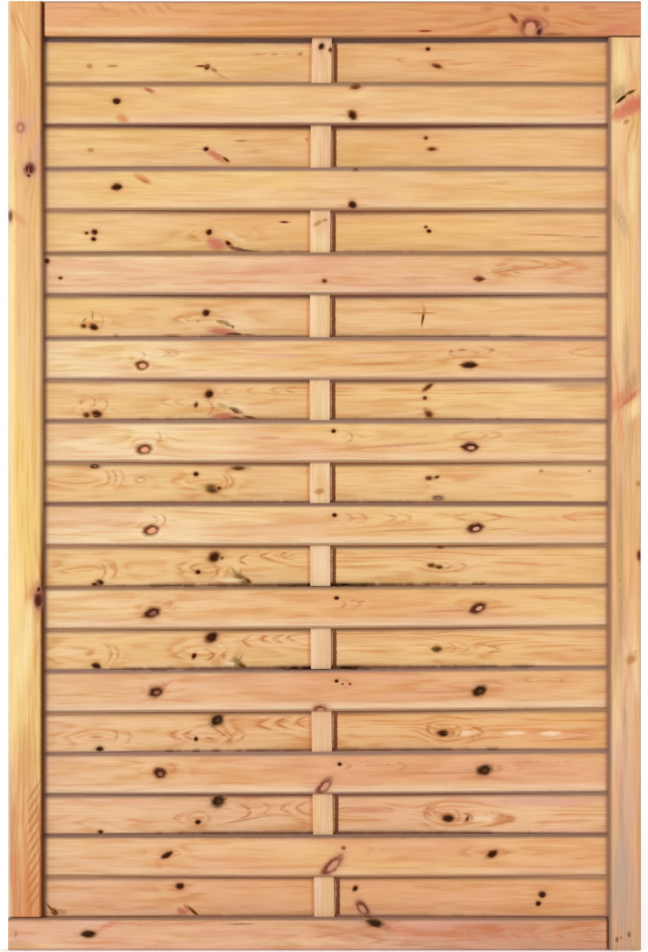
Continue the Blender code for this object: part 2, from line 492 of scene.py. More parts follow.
def make_arc():
    """A short curved line across the grain, where a ring comes out at the face, as a mask."""
    tree, given, out = new_group(
        "arc", ["Vector", "Centre", "Height", "Bulge", "Width", "Bend", "Rough"], ["Mask"]
    )
    bulge, bend, width, rough = (given[title] for title in ("Bulge", "Bend", "Width", "Rough"))
    off = from_centre(given)
    up = abs(off.z) / given["Height"]
    away = plus_share(abs(off.x + up ** bend * bulge), rough, ARC_WANDER)
    slope = up ** (bend - 1.0) * (bulge * bend / given["Height"])
    away = away / maths("SQRT", slope ** 2.0 + 1.0)
    line = fading(away, width * ARC_CORE, width) * eased(rough, *ARC_BREAKS)
    feed(out["Mask"], line * fading(up, *ARC_FADES))
    return tree


EDGE_WANDER = 0.0014
HIGHLIGHT_FROM, HIGHLIGHT_TO = 0.0006, 0.0032


def make_edge_line():
    """A line along an edge laid over the wood, with a soft border, by the distance inside the edge: mostly
    grime and painted shade, and on the left stile's outer arris a painted highlight. Its tone is lifted on
    the bevel, a painted highlight against the shade that the bevel gets.
    """
    tree, given, out = new_group(
        "edge_line", ["Color", "Inside", "Reach", "Flat", "Worn", "Dirt", "Share", "Rough"], ["Color", "Mask"]
    )
    inside = plus_share(given["Inside"], given["Rough"], EDGE_WANDER)
    hard = fading(inside, given["Reach"] * given["Flat"], given["Reach"]) * given["Share"]
    # Painted highlight: the line's tone is paler on the bevel itself, against the shade the bevel gets.
    highlighted = eased(given["Inside"], HIGHLIGHT_FROM, HIGHLIGHT_TO, given["Worn"], 0.0)
    feed(out["Color"], mixed(hard, given["Color"], scaled(given["Dirt"], highlighted + 1.0)))
    feed(out["Mask"], hard)
    return tree


rings_group = make_rings()
figure_group = make_figure()
branch_group = make_branch()
knot_group = make_knot()
stain_group = make_stain()
arc_group = make_arc()
edge_line_group = make_edge_line()

# What is drawn on one board, by the pixels of the photograph: a knot or a stain at its middle, a
# figure of the rings at its peak, an arc at its tip and a band of painted shade beside the batten
# that crosses the board. Sizes are half sizes, and a bulge is how far an arc's arms trail to the
# left of its tip.
Knot = namedtuple("Knot", "across down radius kind stretch lean point", defaults=("dead", 1.2, 0, 0.0))
Stain = namedtuple("Stain", "across down length height kind lean share broken", defaults=("red", 0, 0.8, 0.0))
Figure = namedtuple("Figure", "across down left right height rings")
Band = namedtuple("Band", "across width kind share side")
Arc = namedtuple("Arc", "across down height bulge width kind share bend", defaults=(2.7, "grain", 0.5, 1.4))
# An edge lays a line of grime and painted shade, and on the left stile's outer arris a painted highlight; its
# last number makes the tone paler on the bevel, a painted highlight.
Edge = namedtuple("Edge", "inside reach dirt share flat worn", defaults=(1.0, 0.12, 0.0))
Grain = namedtuple("Grain", "pith_depth pith_height ring_width wander late blush gold", defaults=(1.0,))

# A kind of knot is its heart's colour and size, its bark, and its halo's colour and two shares.
KNOT_SPREAD = 1.12
KNOT_RAGGEDNESS = 0.5
KNOT_KINDS = {
    "dead": (tone(60, 24, 2), 0.8, tone(114, 56, 18), tone(208, 140, 88), 0.55, 1.0),
    "black": (tone(52, 27, 4), 0.8, tone(92, 54, 20), tone(186, 130, 80), 0.55, 1.0),
    "ringed": (tone(142, 94, 70), 0.38, tone(80, 36, 14), tone(206, 134, 82), 0.6, 1.0),
    "live": (tone(236, 168, 124), 0.5, tone(124, 60, 22), tone(250, 218, 166), 0.5, 1.0),
    "arched": (tone(214, 156, 122), 0.38, tone(88, 38, 16), tone(208, 142, 94), 0.5, 1.0),
    "pinked": (tone(222, 158, 120), 0.5, tone(186, 118, 90), tone(218, 158, 122), 0.7, 1.0),
    "swirled": (tone(220, 152, 116), 0.46, tone(124, 54, 36), tone(206, 128, 92), 0.6, 1.0),
    "brown": (tone(86, 38, 10), 0.6, tone(128, 70, 28), tone(206, 130, 74), 0.6, 0.95),
    "olive": (tone(82, 50, 16), 0.6, tone(120, 80, 34), tone(204, 150, 84), 0.6, 0.95),
    "plum": (tone(84, 36, 24), 0.7, tone(130, 72, 54), tone(200, 138, 110), 0.6, 1.0),
    "amber": (tone(204, 128, 62), 0.6, tone(220, 152, 84), tone(240, 198, 130), 0.5, 0.9),
    "bare": (tone(224, 156, 112), 0.7, tone(222, 150, 104), tone(222, 150, 104), 0.0, 0.9),
    "rusty": (tone(136, 58, 30), 0.8, tone(172, 92, 56), tone(214, 132, 88), 0.5, 0.95),
    "dark": (tone(86, 54, 28), 0.34, tone(56, 27, 4), tone(196, 136, 88), 0.5, 1.0),
    "russet": (tone(182, 106, 68), 0.7, tone(200, 130, 86), tone(222, 162, 112), 0.4, 0.9),
    "smoky": (tone(150, 112, 92), 0.5, tone(112, 74, 56), tone(196, 148, 112), 0.4, 0.85),
    "faint": (tone(172, 108, 46), 0.6, tone(176, 118, 60), tone(222, 162, 102), 0.4, 0.65),
    "red": (tone(210, 150, 122), 0.56, tone(124, 66, 42), tone(214, 146, 112), 0.55, 1.0),
}
STAIN_KINDS = {
    "red": tone(206, 122, 90),
    "orange": tone(222, 148, 88),
    "rust": tone(192, 108, 64),
    "grain": tone(192, 110, 52),
    "green": tone(132, 96, 34),
    "moss": tone(178, 144, 78),
    "black": tone(56, 34, 18),
    "umber": tone(128, 66, 34),
    "shade": tone(112, 48, 10),
    "pale": tone(246, 216, 172),
    "grey": tone(182, 150, 120),
    "pink": tone(233, 174, 146),
    "mauve": tone(222, 166, 142),
    "brick": tone(212, 118, 84),
    "gold": tone(252, 222, 152),
    "lemon": tone(250, 226, 164),
    "olive": tone(146, 122, 72),
    "ash": tone(190, 160, 142),
}
SEED_STEP = (0.37, 0.11, 0.23)
ROUGH_NOISE = ((95.0, 150.0, 190.0), 1.5, 0.6)
STREAK_NOISE = ((110.0, 60.0, 620.0), 1.0)
TONE_WANDER = 0.12
PALE_TINT, DEEP_TINT = (1.035, 1.06, 1.1, 1), (0.975, 0.94, 0.86, 1)
GOLD_TINT = (1.0, 1.02, 0.84, 1)
LATE_TINT = (0.86, 0.62, 0.42, 1)
BLUSH_TONE = tone(226, 160, 124)
MARGIN_TONE = tone(244, 212, 176)
MARGIN_LOW, MARGIN_HIGH = -0.038, -0.014
SWELL_DEEPENS = (0.1, 1.0, 0.0, 0.4)
BAND_WANDER = 0.003
BAND_CORE, BAND_RIM = 0.6, 1.3
FACE_BLEND = 0.002
FIBRE_TINTS = (0.3, 0.7, 0.955, 1.035)
FIBRE_STRENGTH, FIBRE_HEIGHT = 0.3, 0.0003
KNOT_WEAKENS_EDGE_LINES = -0.75
PLAIN_ROUGHNESS, LATE_ROUGHNESS, EDGE_LINE_ROUGHNESS = 0.66, -0.06, 0.2
PLAIN_SPECULAR, MARK_SPECULAR = 0.32, -0.25


def pixels(count):
    return count * metres_per_pixel


def pine(name, seed, tones, grain, place, span, knots=(), stains=(), figures=(), arcs=(), bands=(), edges=(),
         margin=0.0):
    """One board's own finish.

    tones runs along the span, two X's of the board. place turns a pixel of the photograph into
    the board's own X and Z. margin is how much paler the board gets along its lower edge. An
    edge's inside is a function of the board's coordinates, in metres, and its share is a number,
    or a function of them and of this board's own place in the noise.
    """
    material = bpy.data.materials.new(name)
    material.use_nodes = True
    tree = material.node_tree
    shader = tree.nodes["Principled BSDF"]
    board = Level(tree, node(tree, "ShaderNodeAttribute", attribute_name="board").outputs["Vector"])
    own = split(board)
    shifted = vector_maths("ADD", board, [seed * step for step in SEED_STEP])
    rough = noise_of(shifted, *ROUGH_NOISE) - NOISE_MIDDLE

    def drawn(group, mark, **values):
        x, z = place(mark.across, mark.down)
        return place_group(tree, group, Vector=board, Centre=(x, 0.0, z), **values)

    def stained(mask, mark):
        return mixed(mask * mark.share, colour, STAIN_KINDS[mark.kind])

    swell = Level(tree, 0.0)
    for figure in figures:
        sizes = dict(Left=pixels(figure.left), Right=pixels(figure.right), Height=pixels(figure.height))
        swell = drawn(figure_group, figure, Rings=figure.rings, **sizes)["Swell"] + swell
    rings = place_group(
        tree, rings_group, Vector=board, Pith_Depth=grain.pith_depth, Pith_Height=grain.pith_height,
        Ring_Width=grain.ring_width, Wander=grain.wander, Swell=swell, Seed=seed,
    )

    ramp = node(tree, "ShaderNodeValToRGB")
    stops = ramp.color_ramp.elements
    while len(stops) < len(tones):
        stops.new(0.5)
    for index, level in enumerate(tones):
        stops[index].position = index / (len(tones) - 1)
        stops[index].color = level
    share = (own.x - span[0]) / (span[1] - span[0])
    feed(ramp.inputs[0], plus_share(share, rings["Tone"] - NOISE_MIDDLE, TONE_WANDER))
    shade = mixed(rings["Tone"], PALE_TINT, DEEP_TINT)
    colour = tinted(Level(tree, ramp.outputs["Color"]), shade)
    colour = mixed(rings["Gold"] * grain.gold, colour, tinted(colour, GOLD_TINT))
    colour = mixed(rings["Blush"] * grain.blush, colour, BLUSH_TONE)
    colour = mixed(eased(own.z, MARGIN_LOW, MARGIN_HIGH, margin, 0.0), colour, MARGIN_TONE)
    depth = eased(swell, *SWELL_DEEPENS) + grain.late
    colour = mixed(rings["Late"] * depth, colour, tinted(colour, LATE_TINT))
    streaks = noise_of(shifted, *STREAK_NOISE) - NOISE_MIDDLE
    for stain in stains:
        mask = drawn(
            stain_group, stain, Length=pixels(stain.length), Height=pixels(stain.height),
            Lean=math.radians(stain.lean), Broken=stain.broken, Rough=streaks if stain.broken else rough,
        )["Mask"]
        colour = stained(mask, stain)
    for arc in arcs:
        mask = drawn(
            arc_group, arc, Height=pixels(arc.height), Bulge=pixels(arc.bulge), Width=pixels(arc.width),
            Bend=arc.bend, Rough=rough,
        )["Mask"]
        colour = stained(mask, arc)
    # Painted shade beside the batten: a band across the board, on one face only.
    for band in bands:
        x, z = place(band.across, 0)
        off = plus_share(abs(own.x - x), rough, BAND_WANDER)
        core, rim = (pixels(band.width) * share for share in (BAND_CORE, BAND_RIM))
        mask = eased(off, core, rim, band.share, 0.0) * eased(own.y * band.side, 0.0, FACE_BLEND)
        colour = mixed(mask, colour, STAIN_KINDS[band.kind])
    colour = tinted(colour, eased(rings["Fibre"], *FIBRE_TINTS))

    knotted = Level(tree, 0.0)
    ragged = rough * KNOT_RAGGEDNESS
    for knot in knots:
        heart, heart_size, bark, halo, halo_share, knot_share = KNOT_KINDS[knot.kind]
        branch = drawn(
            branch_group, knot, Radius=pixels(knot.radius) * KNOT_SPREAD, Stretch=knot.stretch,
            Lean=math.radians(knot.lean), Point=knot.point, Heart_Size=heart_size, Ragged=ragged,
        )
        laid = place_group(
            tree, knot_group, Color=colour, Distance=branch["Distance"], Tail=branch["Tail"],
            Heart_Distance=branch["Heart Distance"], Heart=heart, Bark=bark, Halo=halo, Halo_Share=halo_share,
            Share=knot_share,
        )
        colour = laid["Color"]
        knotted = highest(laid["Mask"], knotted)

    # The edge lines, laid last: grime and painted shade, and a painted highlight on the left stile's outer
    # arris. They are weaker over knots, and make the surface rougher and less glossy.
    grime_and_painted_light_mask = Level(tree, 0.0)
    under_knots = plus_share(1.0, knotted, KNOT_WEAKENS_EDGE_LINES)
    for edge in edges:
        edge_share = edge.share(own, shifted) if callable(edge.share) else edge.share
        lined = place_group(
            tree, edge_line_group, Color=colour, Inside=edge.inside(own), Reach=edge.reach, Dirt=edge.dirt,
            Share=under_knots * edge_share, Rough=rough, Flat=edge.flat, Worn=edge.worn,
        )
        colour = lined["Color"]
        grime_and_painted_light_mask = highest(lined["Mask"], grime_and_painted_light_mask)
    feed(shader.inputs["Base Color"], colour)

    gloss = plus_share(PLAIN_ROUGHNESS, rings["Late"], LATE_ROUGHNESS)
    feed(shader.inputs["Roughness"], plus_share(gloss, grime_and_painted_light_mask, EDGE_LINE_ROUGHNESS))
    specular = plus_share(PLAIN_SPECULAR, highest(grime_and_painted_light_mask, knotted), MARK_SPECULAR)
    feed(shader.inputs["Specular IOR Level"], specular)
    bump = node(tree, "ShaderNodeBump")
    bump.inputs["Strength"].default_value = FIBRE_STRENGTH
    bump.inputs["Distance"].default_value = FIBRE_HEIGHT
    feed(bump.inputs["Height"], rings["Fibre"])
    feed(shader.inputs["Normal"], Level(tree, bump.outputs["Normal"]))
    return material


IVORY = tone(242, 211, 166)
CREAM = tone(240, 205, 157)
STRAW = tone(236, 193, 138)
HONEY = tone(232, 183, 128)
AMBER = tone(228, 172, 114)
BLUSH = tone(234, 189, 148)
ROSE = tone(230, 179, 140)
SALMON = tone(225, 166, 121)
PEACH = tone(230, 175, 130)
DEEP_LINE = tone(104, 50, 20)
SOFT_LINE = tone(138, 104, 84)
# Where a line starts, inside a grooved edge or a cut end, and outside an outer edge.
GROOVED_SET_BACK = 0.0006
EDGE_SET_BACK = 0.0002
JOINT_FLAT, JOINT_HIGHLIGHT = 0.12, 0.4
CUT_END_SHARE = 0.9


def member_place(turned):
    """A function that turns a pixel of the photograph into a member's own X and Z."""
    back = turned.inverted()

    def place(across, down):
        x, z = seen_at(across, down, 0.0)
        own = back @ Vector((x, 0.0, z))
        return own.x, own.z

    return place


def grooved_edge(face):
    return lambda own: face - GROOVED_SET_BACK - own.z


def outer_edge(own):
    return own.z + EDGE_SET_BACK


def butted_end(length):
    return lambda own: length - EDGE_SET_BACK - own.x


PALER_STARTS, PALER_FULL, PALER_FADES, PALER_ENDS = 0.15, 0.55, 0.90, 1.12
PALER_BY = 0.42


def left_joint_share(own, place):
    """The left stile's joint line, paler from the fifth slat to the twelfth."""
    below = eased(own.x, PALER_STARTS, PALER_FULL, 0.0, PALER_BY)
    return 1.0 - below * fading(own.x, PALER_FADES, PALER_ENDS)


left_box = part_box("left_stile")
right_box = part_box("right_stile")
top_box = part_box("top_rail")
foot_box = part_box("bottom_rail")
left_face = left_box[1].x - left_box[0].x
right_face = right_box[1].x - right_box[0].x
top_face = top_box[1].z - top_box[0].z
foot_face = foot_box[1].z - foot_box[0].z

TOP_FLECKS = ((102, 6), (134, 11), (143, 9), (160, 9), (168, 6))
ARC_TIPS = (452, 460, 467, 486, 498, 512, 530, 556, 584)
MEMBERS = {
    "left_stile": dict(
        length=left_box[1].z - left_box[0].z - TENON_LENGTH, face=left_face, turn=90,
        corner=(cad_low.x, 0, cad_high.z), seed=1.0, line=DEEP_LINE, reach=0.0088, dirt=left_joint_share,
        # The outer arris is paler: pale wood with a painted highlight where the key lamp catches it.
        end_reach=0.004, outer=(0.0085, tone(236, 218, 194), 0.6),
        tones=[AMBER, HONEY, STRAW, tone(242, 202, 134), tone(244, 208, 140), STRAW, tone(221, 152, 102)],
        grain=Grain(0.03, 0.075, 0.006, 1.5, 0.4, 0.25),
        knots=[Knot(31, 166.5, 5.2, "plum", 1.1, -20), Knot(29.8, 173.2, 1.5, "plum", 1.2, 60),
               Knot(22, 125, 4.2, "pinked", 1.15), Knot(11, 214, 2.4, "brown", 2.2),
               Knot(40, 597, 4.6, "plum", 1.9), Knot(40, 587, 1.8, "plum", 1.6, -40)],
        stains=[Stain(13, 330, 320, 5, "gold", 0, 0.95), Stain(15, 640, 170, 9, "gold", 0, 0.8),
                Stain(27, 645, 60, 9, "lemon", -8, 0.8), Stain(26, 50, 50, 5, "gold", 8, 0.4),
                Stain(38, 150, 26, 5, "mauve", -10, 0.8), Stain(29, 126, 22, 6, "mauve", -30, 0.7),
                Stain(40, 176, 8, 4, "pink", 0, 0.8), Stain(35, 590, 15, 7, "orange", -30, 0.8),
                Stain(36, 645, 60, 3, "orange", 0, 0.35), Stain(31, 880, 110, 13, "orange", 0, 0.5),
                Stain(14, 18, 22, 3, "orange", 20, 0.8), Stain(11, 820, 90, 4, "rust", 0, 0.4),
                Stain(24, 30, 30, 2, "grain", 24, 0.4), Stain(30, 70, 30, 2, "grain", 6, 0.3),
                Stain(20, 218, 16, 5, "orange", 45, 0.6), Stain(33, 800, 60, 3, "rust", 0, 0.25),
                *[Stain(34.5, 792 + 11 * step, 15, 2.0, "grain", -31, 0.62) for step in range(11)]],
        figures=[Figure(39, 900, 60, 90, 9, 3), Figure(31, 167, 30, 30, 10, 1.5),
                 Figure(39, 599, 40, 40, 12, 1.6)],
    ),
    "right_stile": dict(
        length=right_box[1].z - right_box[0].z - TENON_LENGTH, face=right_face, turn=-90,
        corner=(cad_high.x, 0, cad_low.z), seed=2.0, line=SOFT_LINE, reach=0.0084, dirt=1.0, end_reach=0.004,
        # The outer arris is darker: painted shade on the side turned from the key lamp.
        outer=(0.0030, tone(186, 150, 118), 0.5),
        tones=[tone(200, 160, 138), tone(220, 178, 144), BLUSH, PEACH, tone(224, 180, 136), PEACH,
               tone(236, 196, 148), STRAW, tone(230, 186, 138)],
        grain=Grain(0.05, -0.03, 0.006, 1.5, 0.3, 0.2),
        knots=[Knot(620.5, 101, 1.5, "black", 4.6, -50, 0.4), Knot(629.5, 94.5, 1.3, "olive", 4.0, -66, 0.4),
               Knot(625, 124, 1.8, "faint", 1.5, -60), Knot(638, 558, 2.2, "brown", 2.2),
               Knot(630, 662, 3, "faint", 1.6, -50), Knot(637, 486, 2, "faint"),
               Knot(616, 942, 1.5, "smoky", 1.4), Knot(620, 940, 1.4, "faint"),
               Knot(628, 937, 1.6, "smoky", 1.4)],
        stains=[Stain(618, 92, 14, 8, "olive", -30, 0.75, 0.5), Stain(632, 85, 22, 7, "orange", -14, 0.5),
                Stain(633, 105, 22, 13, "brick", -62, 1.0), Stain(619, 113, 14, 9, "brick", -58, 0.85),
                Stain(629, 386, 22, 8, "olive", -20, 0.4), Stain(619, 400, 26, 9, "brick", -44, 0.5),
                Stain(635, 408, 18, 8, "lemon", -30, 0.7), Stain(629, 398, 19, 3.4, "rust", -46, 0.7),
                Stain(618, 62, 30, 8, "lemon", 0, 0.6), Stain(632, 180, 60, 6, "lemon", 0, 0.6),
                Stain(618, 320, 70, 8, "lemon", 0, 0.45), Stain(619, 218, 26, 8, "olive", 20, 0.5, 0.5),
                Stain(625, 352, 42, 5, "olive", 0, 0.45, 0.3), Stain(637, 330, 200, 3, "mauve", 0, 0.35),
                Stain(618, 470, 90, 7, "orange", 0, 0.35, 0.4),
                Stain(619, 575, 130, 5, "olive", 0, 0.55, 0.4),
                Stain(630, 520, 90, 5, "orange", 0, 0.35, 0.4), Stain(634, 640, 70, 5, "lemon", 0, 0.3),
                Stain(638, 480, 60, 3, "lemon", 0, 0.25), Stain(630, 655, 14, 3, "olive", -55, 0.4, 0.4),
                Stain(616, 700, 60, 4, "lemon", 0, 0.3), Stain(634, 760, 70, 6, "orange", 0, 0.35, 0.4),
                Stain(621, 880, 66, 12, "ash", 0, 0.85, 0.3), Stain(618, 790, 60, 6, "mauve", 0, 0.5),
                Stain(624, 730, 60, 4, "olive", 0, 0.4, 0.5), Stain(615, 660, 60, 4, "grey", 0, 0.4, 0.3),
                Stain(620, 806, 50, 4, "olive", 0, 0.35, 0.4), Stain(628, 440, 40, 4, "olive", 0, 0.3, 0.4),
                Stain(638, 850, 130, 3, "orange", 0, 0.5), Stain(614, 925, 24, 3, "mauve", 0, 0.5)],
        figures=[Figure(634, 108, 40, 40, 14, 2), Figure(618, 404, 40, 40, 14, 2)],
    ),
    "top_rail": dict(
        length=top_box[1].x - top_box[0].x - TENON_LENGTH, face=top_face, turn=180,
        corner=(cad_high.x, 0, cad_high.z), seed=3.0, line=SOFT_LINE, reach=0.0030, dirt=0.3, end_reach=0.004,
        outer=(0.0058, tone(150, 118, 100), 0.85),
        tones=[tone(220, 149, 99), tone(222, 155, 102), tone(224, 160, 107), tone(226, 163, 110),
               tone(228, 168, 114)],
        grain=Grain(0.04, 0.03, 0.005, 1.6, 0.5, 0.3),
        knots=[Knot(533, 28, 8.6, "swirled", 1.2, -20), Knot(531.5, 31.5, 4.6, "bare", 1.2, -30),
               Knot(541, 32, 2.6, "plum", 1.6, 60), Knot(515.5, 18.5, 2.4, "rusty", 2.6, -48),
               Knot(427, 31, 1.2, "rusty", 5)],
        stains=[Stain(534, 20, 18, 8, "brick", 0, 0.45), Stain(120, 30, 110, 6, "pale", 0, 0.42),
                Stain(612, 30, 28, 7, "brick", 14, 0.6), Stain(522, 8, 20, 3, "rust", -15, 0.6, 0.5),
                Stain(545, 9, 5, 5, "rust", -50, 0.8), Stain(588, 8, 14, 3, "rust", 0, 0.5),
                Stain(487, 9, 9, 4, "rust", 0, 0.6), Stain(300, 14, 130, 4, "rust", 0, 0.2),
                Stain(545, 34, 34, 2.4, "umber", 0, 0.6),
                *[Stain(across, down, 9, 3, "rust", -40, 0.34) for across, down in TOP_FLECKS]],
        figures=[Figure(535, 26, 50, 60, 14, 2.5)],
        arcs=[Arc(547, 24, 9, -16, 2.4, "umber", 0.75, 1.8)],
    ),
    "bottom_rail": dict(
        length=foot_box[1].x - foot_box[0].x - TENON_LENGTH, face=foot_face, turn=0,
        corner=(cad_low.x, 0, cad_low.z), seed=4.0, line=SOFT_LINE, reach=0.0070, dirt=1.0, end_reach=0.0056,
        outer=(0.0075, tone(190, 154, 132), 0.55),
        tones=[tone(226, 180, 154), tone(228, 180, 150), tone(227, 177, 147), tone(219, 170, 144),
               tone(208, 155, 132), tone(213, 156, 130)],
        grain=Grain(0.045, 0.02, 0.006, 1.6, 0.4, 0.3),
        knots=[Knot(87, 934, 3.6, "black", 2.1, 0, 0.6), Knot(372, 922.3, 4.4, "black", 2.0, -14, 0.2)],
        stains=[Stain(108, 926, 22, 4, "brick", 24, 0.55), Stain(17, 934, 5, 2, "olive", 80, 0.6),
                Stain(190, 923, 46, 2.4, "rust", 4, 0.6, 0.6), Stain(130, 924, 40, 2, "rust", -4, 0.5, 0.6),
                Stain(465, 932, 120, 13, "brick", 0, 0.3), Stain(402, 930, 34, 7, "brick", -8, 0.7, 0.6),
                Stain(386, 928, 10, 5, "umber", -30, 0.5, 0.6),
                Stain(345, 938, 30, 5, "brick", -20, 0.45, 0.5),
                Stain(240, 924, 20, 1.6, "umber", 0, 0.8, 0.5), Stain(300, 942, 120, 5, "pale", 0, 0.35),
                Stain(60, 946, 60, 3, "pale", 0, 0.4), Stain(270, 932, 200, 3, "mauve", 0, 0.35)],
        figures=[Figure(600, 935, 95, 300, 14, 5.5), Figure(80, 940, 60, 60, 12, 2),
                 Figure(345, 940, 50, 50, 12, 2.5)],
        arcs=[Arc(tip, 933, 8, -12, 2.4, "brick", 0.6) for tip in ARC_TIPS],
    ),
}

for name, member in MEMBERS.items():
    length, face = member["length"], member["face"]
    turned = Matrix.Translation(member["corner"]) @ Matrix.Rotation(math.radians(member["turn"]), 4, "Y")
    # Grime and painted shade along the grooved edge, a dark line at the butted end, and a line along the
    # outer arris.
    edges = [
        Edge(grooved_edge(face), member["reach"], member["line"], member["dirt"], JOINT_FLAT, JOINT_HIGHLIGHT),
        Edge(butted_end(length), member["end_reach"], DEEP_LINE, CUT_END_SHARE),
        Edge(outer_edge, *member["outer"]),
    ]
    finish = pine(
        name + "_pine", member["seed"], member["tones"], member["grain"], member_place(turned), (0.0, length),
        member["knots"], member["stains"], member["figures"], member.get("arcs", ()), edges=edges,
    )
    planed_member(name, length, face, turned, finish)

# Centre batten
# One upright pine batten, paler and straighter in the grain than the slats, a little bent and
# left of the middle. The slats are woven round it, and its tongues stand in the rails' grooves.
BATTEN_ARRIS = 0.0012
BATTEN_ARRIS_STEPS = 3
BATTEN_PALE = tone(240, 205, 170)
BATTEN_WARM = tone(235, 196, 160)
BATTEN_ROSY = tone(233, 189, 154)
BATTEN_TONES = [BATTEN_WARM, BATTEN_WARM, BATTEN_PALE, BATTEN_WARM, BATTEN_ROSY]
BATTEN_GRAIN = Grain(0.06, 0.03, 0.003, 0.6, 0.22, 0.2)
BATTEN_KNOTS = [
    Knot(321.5, 47.5, 2.6, "black", 1.3, 30), Knot(330.5, 51, 1.8, "brown"),
    Knot(319.5, 492, 2.6, "faint", 1.5, 80), Knot(318, 224, 1.8, "faint", 2, 60),
    Knot(325, 221, 1.2, "faint", 2, 80),
]
BATTEN_STAINS = [
    Stain(320, 224, 16, 9, "orange", 0, 0.35), Stain(321, 60, 22, 9, "orange", 0, 0.25),
    Stain(321, 484, 18, 9, "orange", 0, 0.35),
]
BATTEN_SEED = 40.0
LEVEL_DECIMALS, LEVEL_SPREAD = 4, 0.0005
DOUBLES_SPREAD = 0.00001
FLAT_ANGLE, CORNER_ANGLE = 0.05, 60

inner_left = left_box[1].x
inner_right = right_box[0].x
inner_top = top_box[0].z
inner_foot = foot_box[1].z
inner_width = inner_right - inner_left
middle_x = (inner_left + inner_right) / 2
batten_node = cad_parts["centre_batten"]


def batten_place(across, down):
    x, z = seen_at(across, down, frame_depth / 2)
    return z, x - middle_x


def batten_edges(height):
    """The batten's left and right edges at a height between its tongues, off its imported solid."""
    points = [vert.co for vert in batten_node.data.vertices]
    levels = sorted({round(point.z, LEVEL_DECIMALS) for point in points})
    sides = {level: [p.x for p in points if abs(p.z - level) < LEVEL_SPREAD] for level in levels}
    below = max(level for level in levels[1:-1] if level <= height)
    above = min(level for level in levels[1:-1] if level > height)
    share = (height - below) / (above - below)
    return [edge(sides[below]) * (1 - share) + edge(sides[above]) * share for edge in (min, max)]


batten_mesh = batten_node.data.copy()
bm = bmesh.new()
bm.from_mesh(batten_mesh)
bmesh.ops.remove_doubles(bm, verts=bm.verts, dist=DOUBLES_SPREAD)
bmesh.ops.dissolve_limit(bm, angle_limit=math.radians(FLAT_ANGLE), verts=bm.verts, edges=bm.edges)
corner_angle = math.radians(CORNER_ANGLE)
corners = [e for e in bm.edges if len(e.link_faces) == 2 and e.calc_face_angle() > corner_angle]
bevel(bm, corners, BATTEN_ARRIS, BATTEN_ARRIS_STEPS)
bm.to_mesh(batten_mesh)
bm.free()
batten_mesh.materials.clear()
batten = bpy.data.objects.new("centre_batten_timber", batten_mesh)
bpy.context.scene.collection.objects.link(batten)
keep_board_places(batten_mesh)
for item in batten_mesh.attributes["board"].data:
    x, y, z = item.vector
    item.vector = (z, y, x - middle_x)
batten_mesh.materials.append(pine(
    "batten_pine", BATTEN_SEED, BATTEN_TONES, BATTEN_GRAIN, batten_place, (cad_low.z, cad_high.z),
    BATTEN_KNOTS, BATTEN_STAINS,
))
dress(batten, "centre_batten", "batten_pine")

# Slats
# Thin planed boards, resawn from a few thicker ones, so that a knot comes back from row to row.
# They are sprung into the stiles' grooves and past the batten: odd rows bow behind it and even
# rows in front. Their edges are bevelled and lap behind each joint line. The joint lines carry
# grime and painted shade, and the slat ends and the gaps beside the batten carry painted shade.
SLAT_COUNT = 21
SLAT_THICKNESS = 0.009
SLAT_ENTRY = 0.010
FIRST_NARROW_SLAT = 9
SLAT_NARROWING = 0.0036
TOP_LIP = 0.0067
EDGE_LAP = 0.007
EDGE_CHAMFER = 0.0025
EDGE_GAP = 0.0004
EDGE_EASING = 0.0005
BEND_STEPS = 28
BEARING_HALF = 0.0325
CREEP_RISE = 0.0075
CREEP_HEIGHT = -0.400
CREEP_REACH = 0.420

front_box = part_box("slat_02")
slat_bow = front_box[1].y - front_box[0].y - SLAT_THICKNESS
narrow_count = len(range(FIRST_NARROW_SLAT, SLAT_COUNT + 1, 2))
wide_face = (inner_top - inner_foot - TOP_LIP + narrow_count * SLAT_NARROWING) / SLAT_COUNT


def in_front(number):
    return number % 2 == 0


def slat_face(number):
    narrow = not in_front(number) and number >= FIRST_NARROW_SLAT
    return wide_face - SLAT_NARROWING if narrow else wide_face


def slat_middle(number):
    below = sum(slat_face(other) for other in range(number + 1, SLAT_COUNT + 1))
    return inner_foot + below + slat_face(number) / 2


def slat_lap(number):
    return -EDGE_LAP if in_front(number) else EDGE_LAP


def bow(number, x):
    """A slat's bow: none at the stiles, and all of it across the batten."""
    along = (inner_width / 2 - abs(x)) / (inner_width / 2 - BEARING_HALF)
    along = min(max(along, 0.0), 1.0)
    return (-slat_bow if in_front(number) else slat_bow) * (along * along * (3 - 2 * along))


def creep(x, height):
    """How far the slats of the lower half have crept up at this place."""
    from_peak = min(abs(height - CREEP_HEIGHT) / CREEP_REACH, 1.0)
    return CREEP_RISE * (1 + math.cos(math.pi * from_peak)) / 2 * x / inner_width


def slat_section(number):
    """(depth, height) points round a slat's end, its middle at height 0."""
    half = SLAT_THICKNESS / 2
    front_edge = slat_face(number) / 2 - EDGE_GAP / 2
    step = -EDGE_GAP / 2 if in_front(number) else EDGE_GAP / 2
    top_lap = TOP_LIP if number == 1 else slat_lap(number)
    foot_lap = 0 if number == SLAT_COUNT else slat_lap(number)
    points = []
    for side, lap in ((1, top_lap), (-1, foot_lap)):
        rear_edge = front_edge + lap
        edge = [(-half, front_edge - EDGE_CHAMFER), (-half + EDGE_CHAMFER, front_edge)]
        if lap:
            edge += [(step, front_edge), (step, rear_edge)]
        edge += [(half - EDGE_CHAMFER, rear_edge), (half, rear_edge - EDGE_CHAMFER)]
        edge = [(depth, side * height) for depth, height in edge]
        points += edge if side > 0 else reversed(edge)
    return points


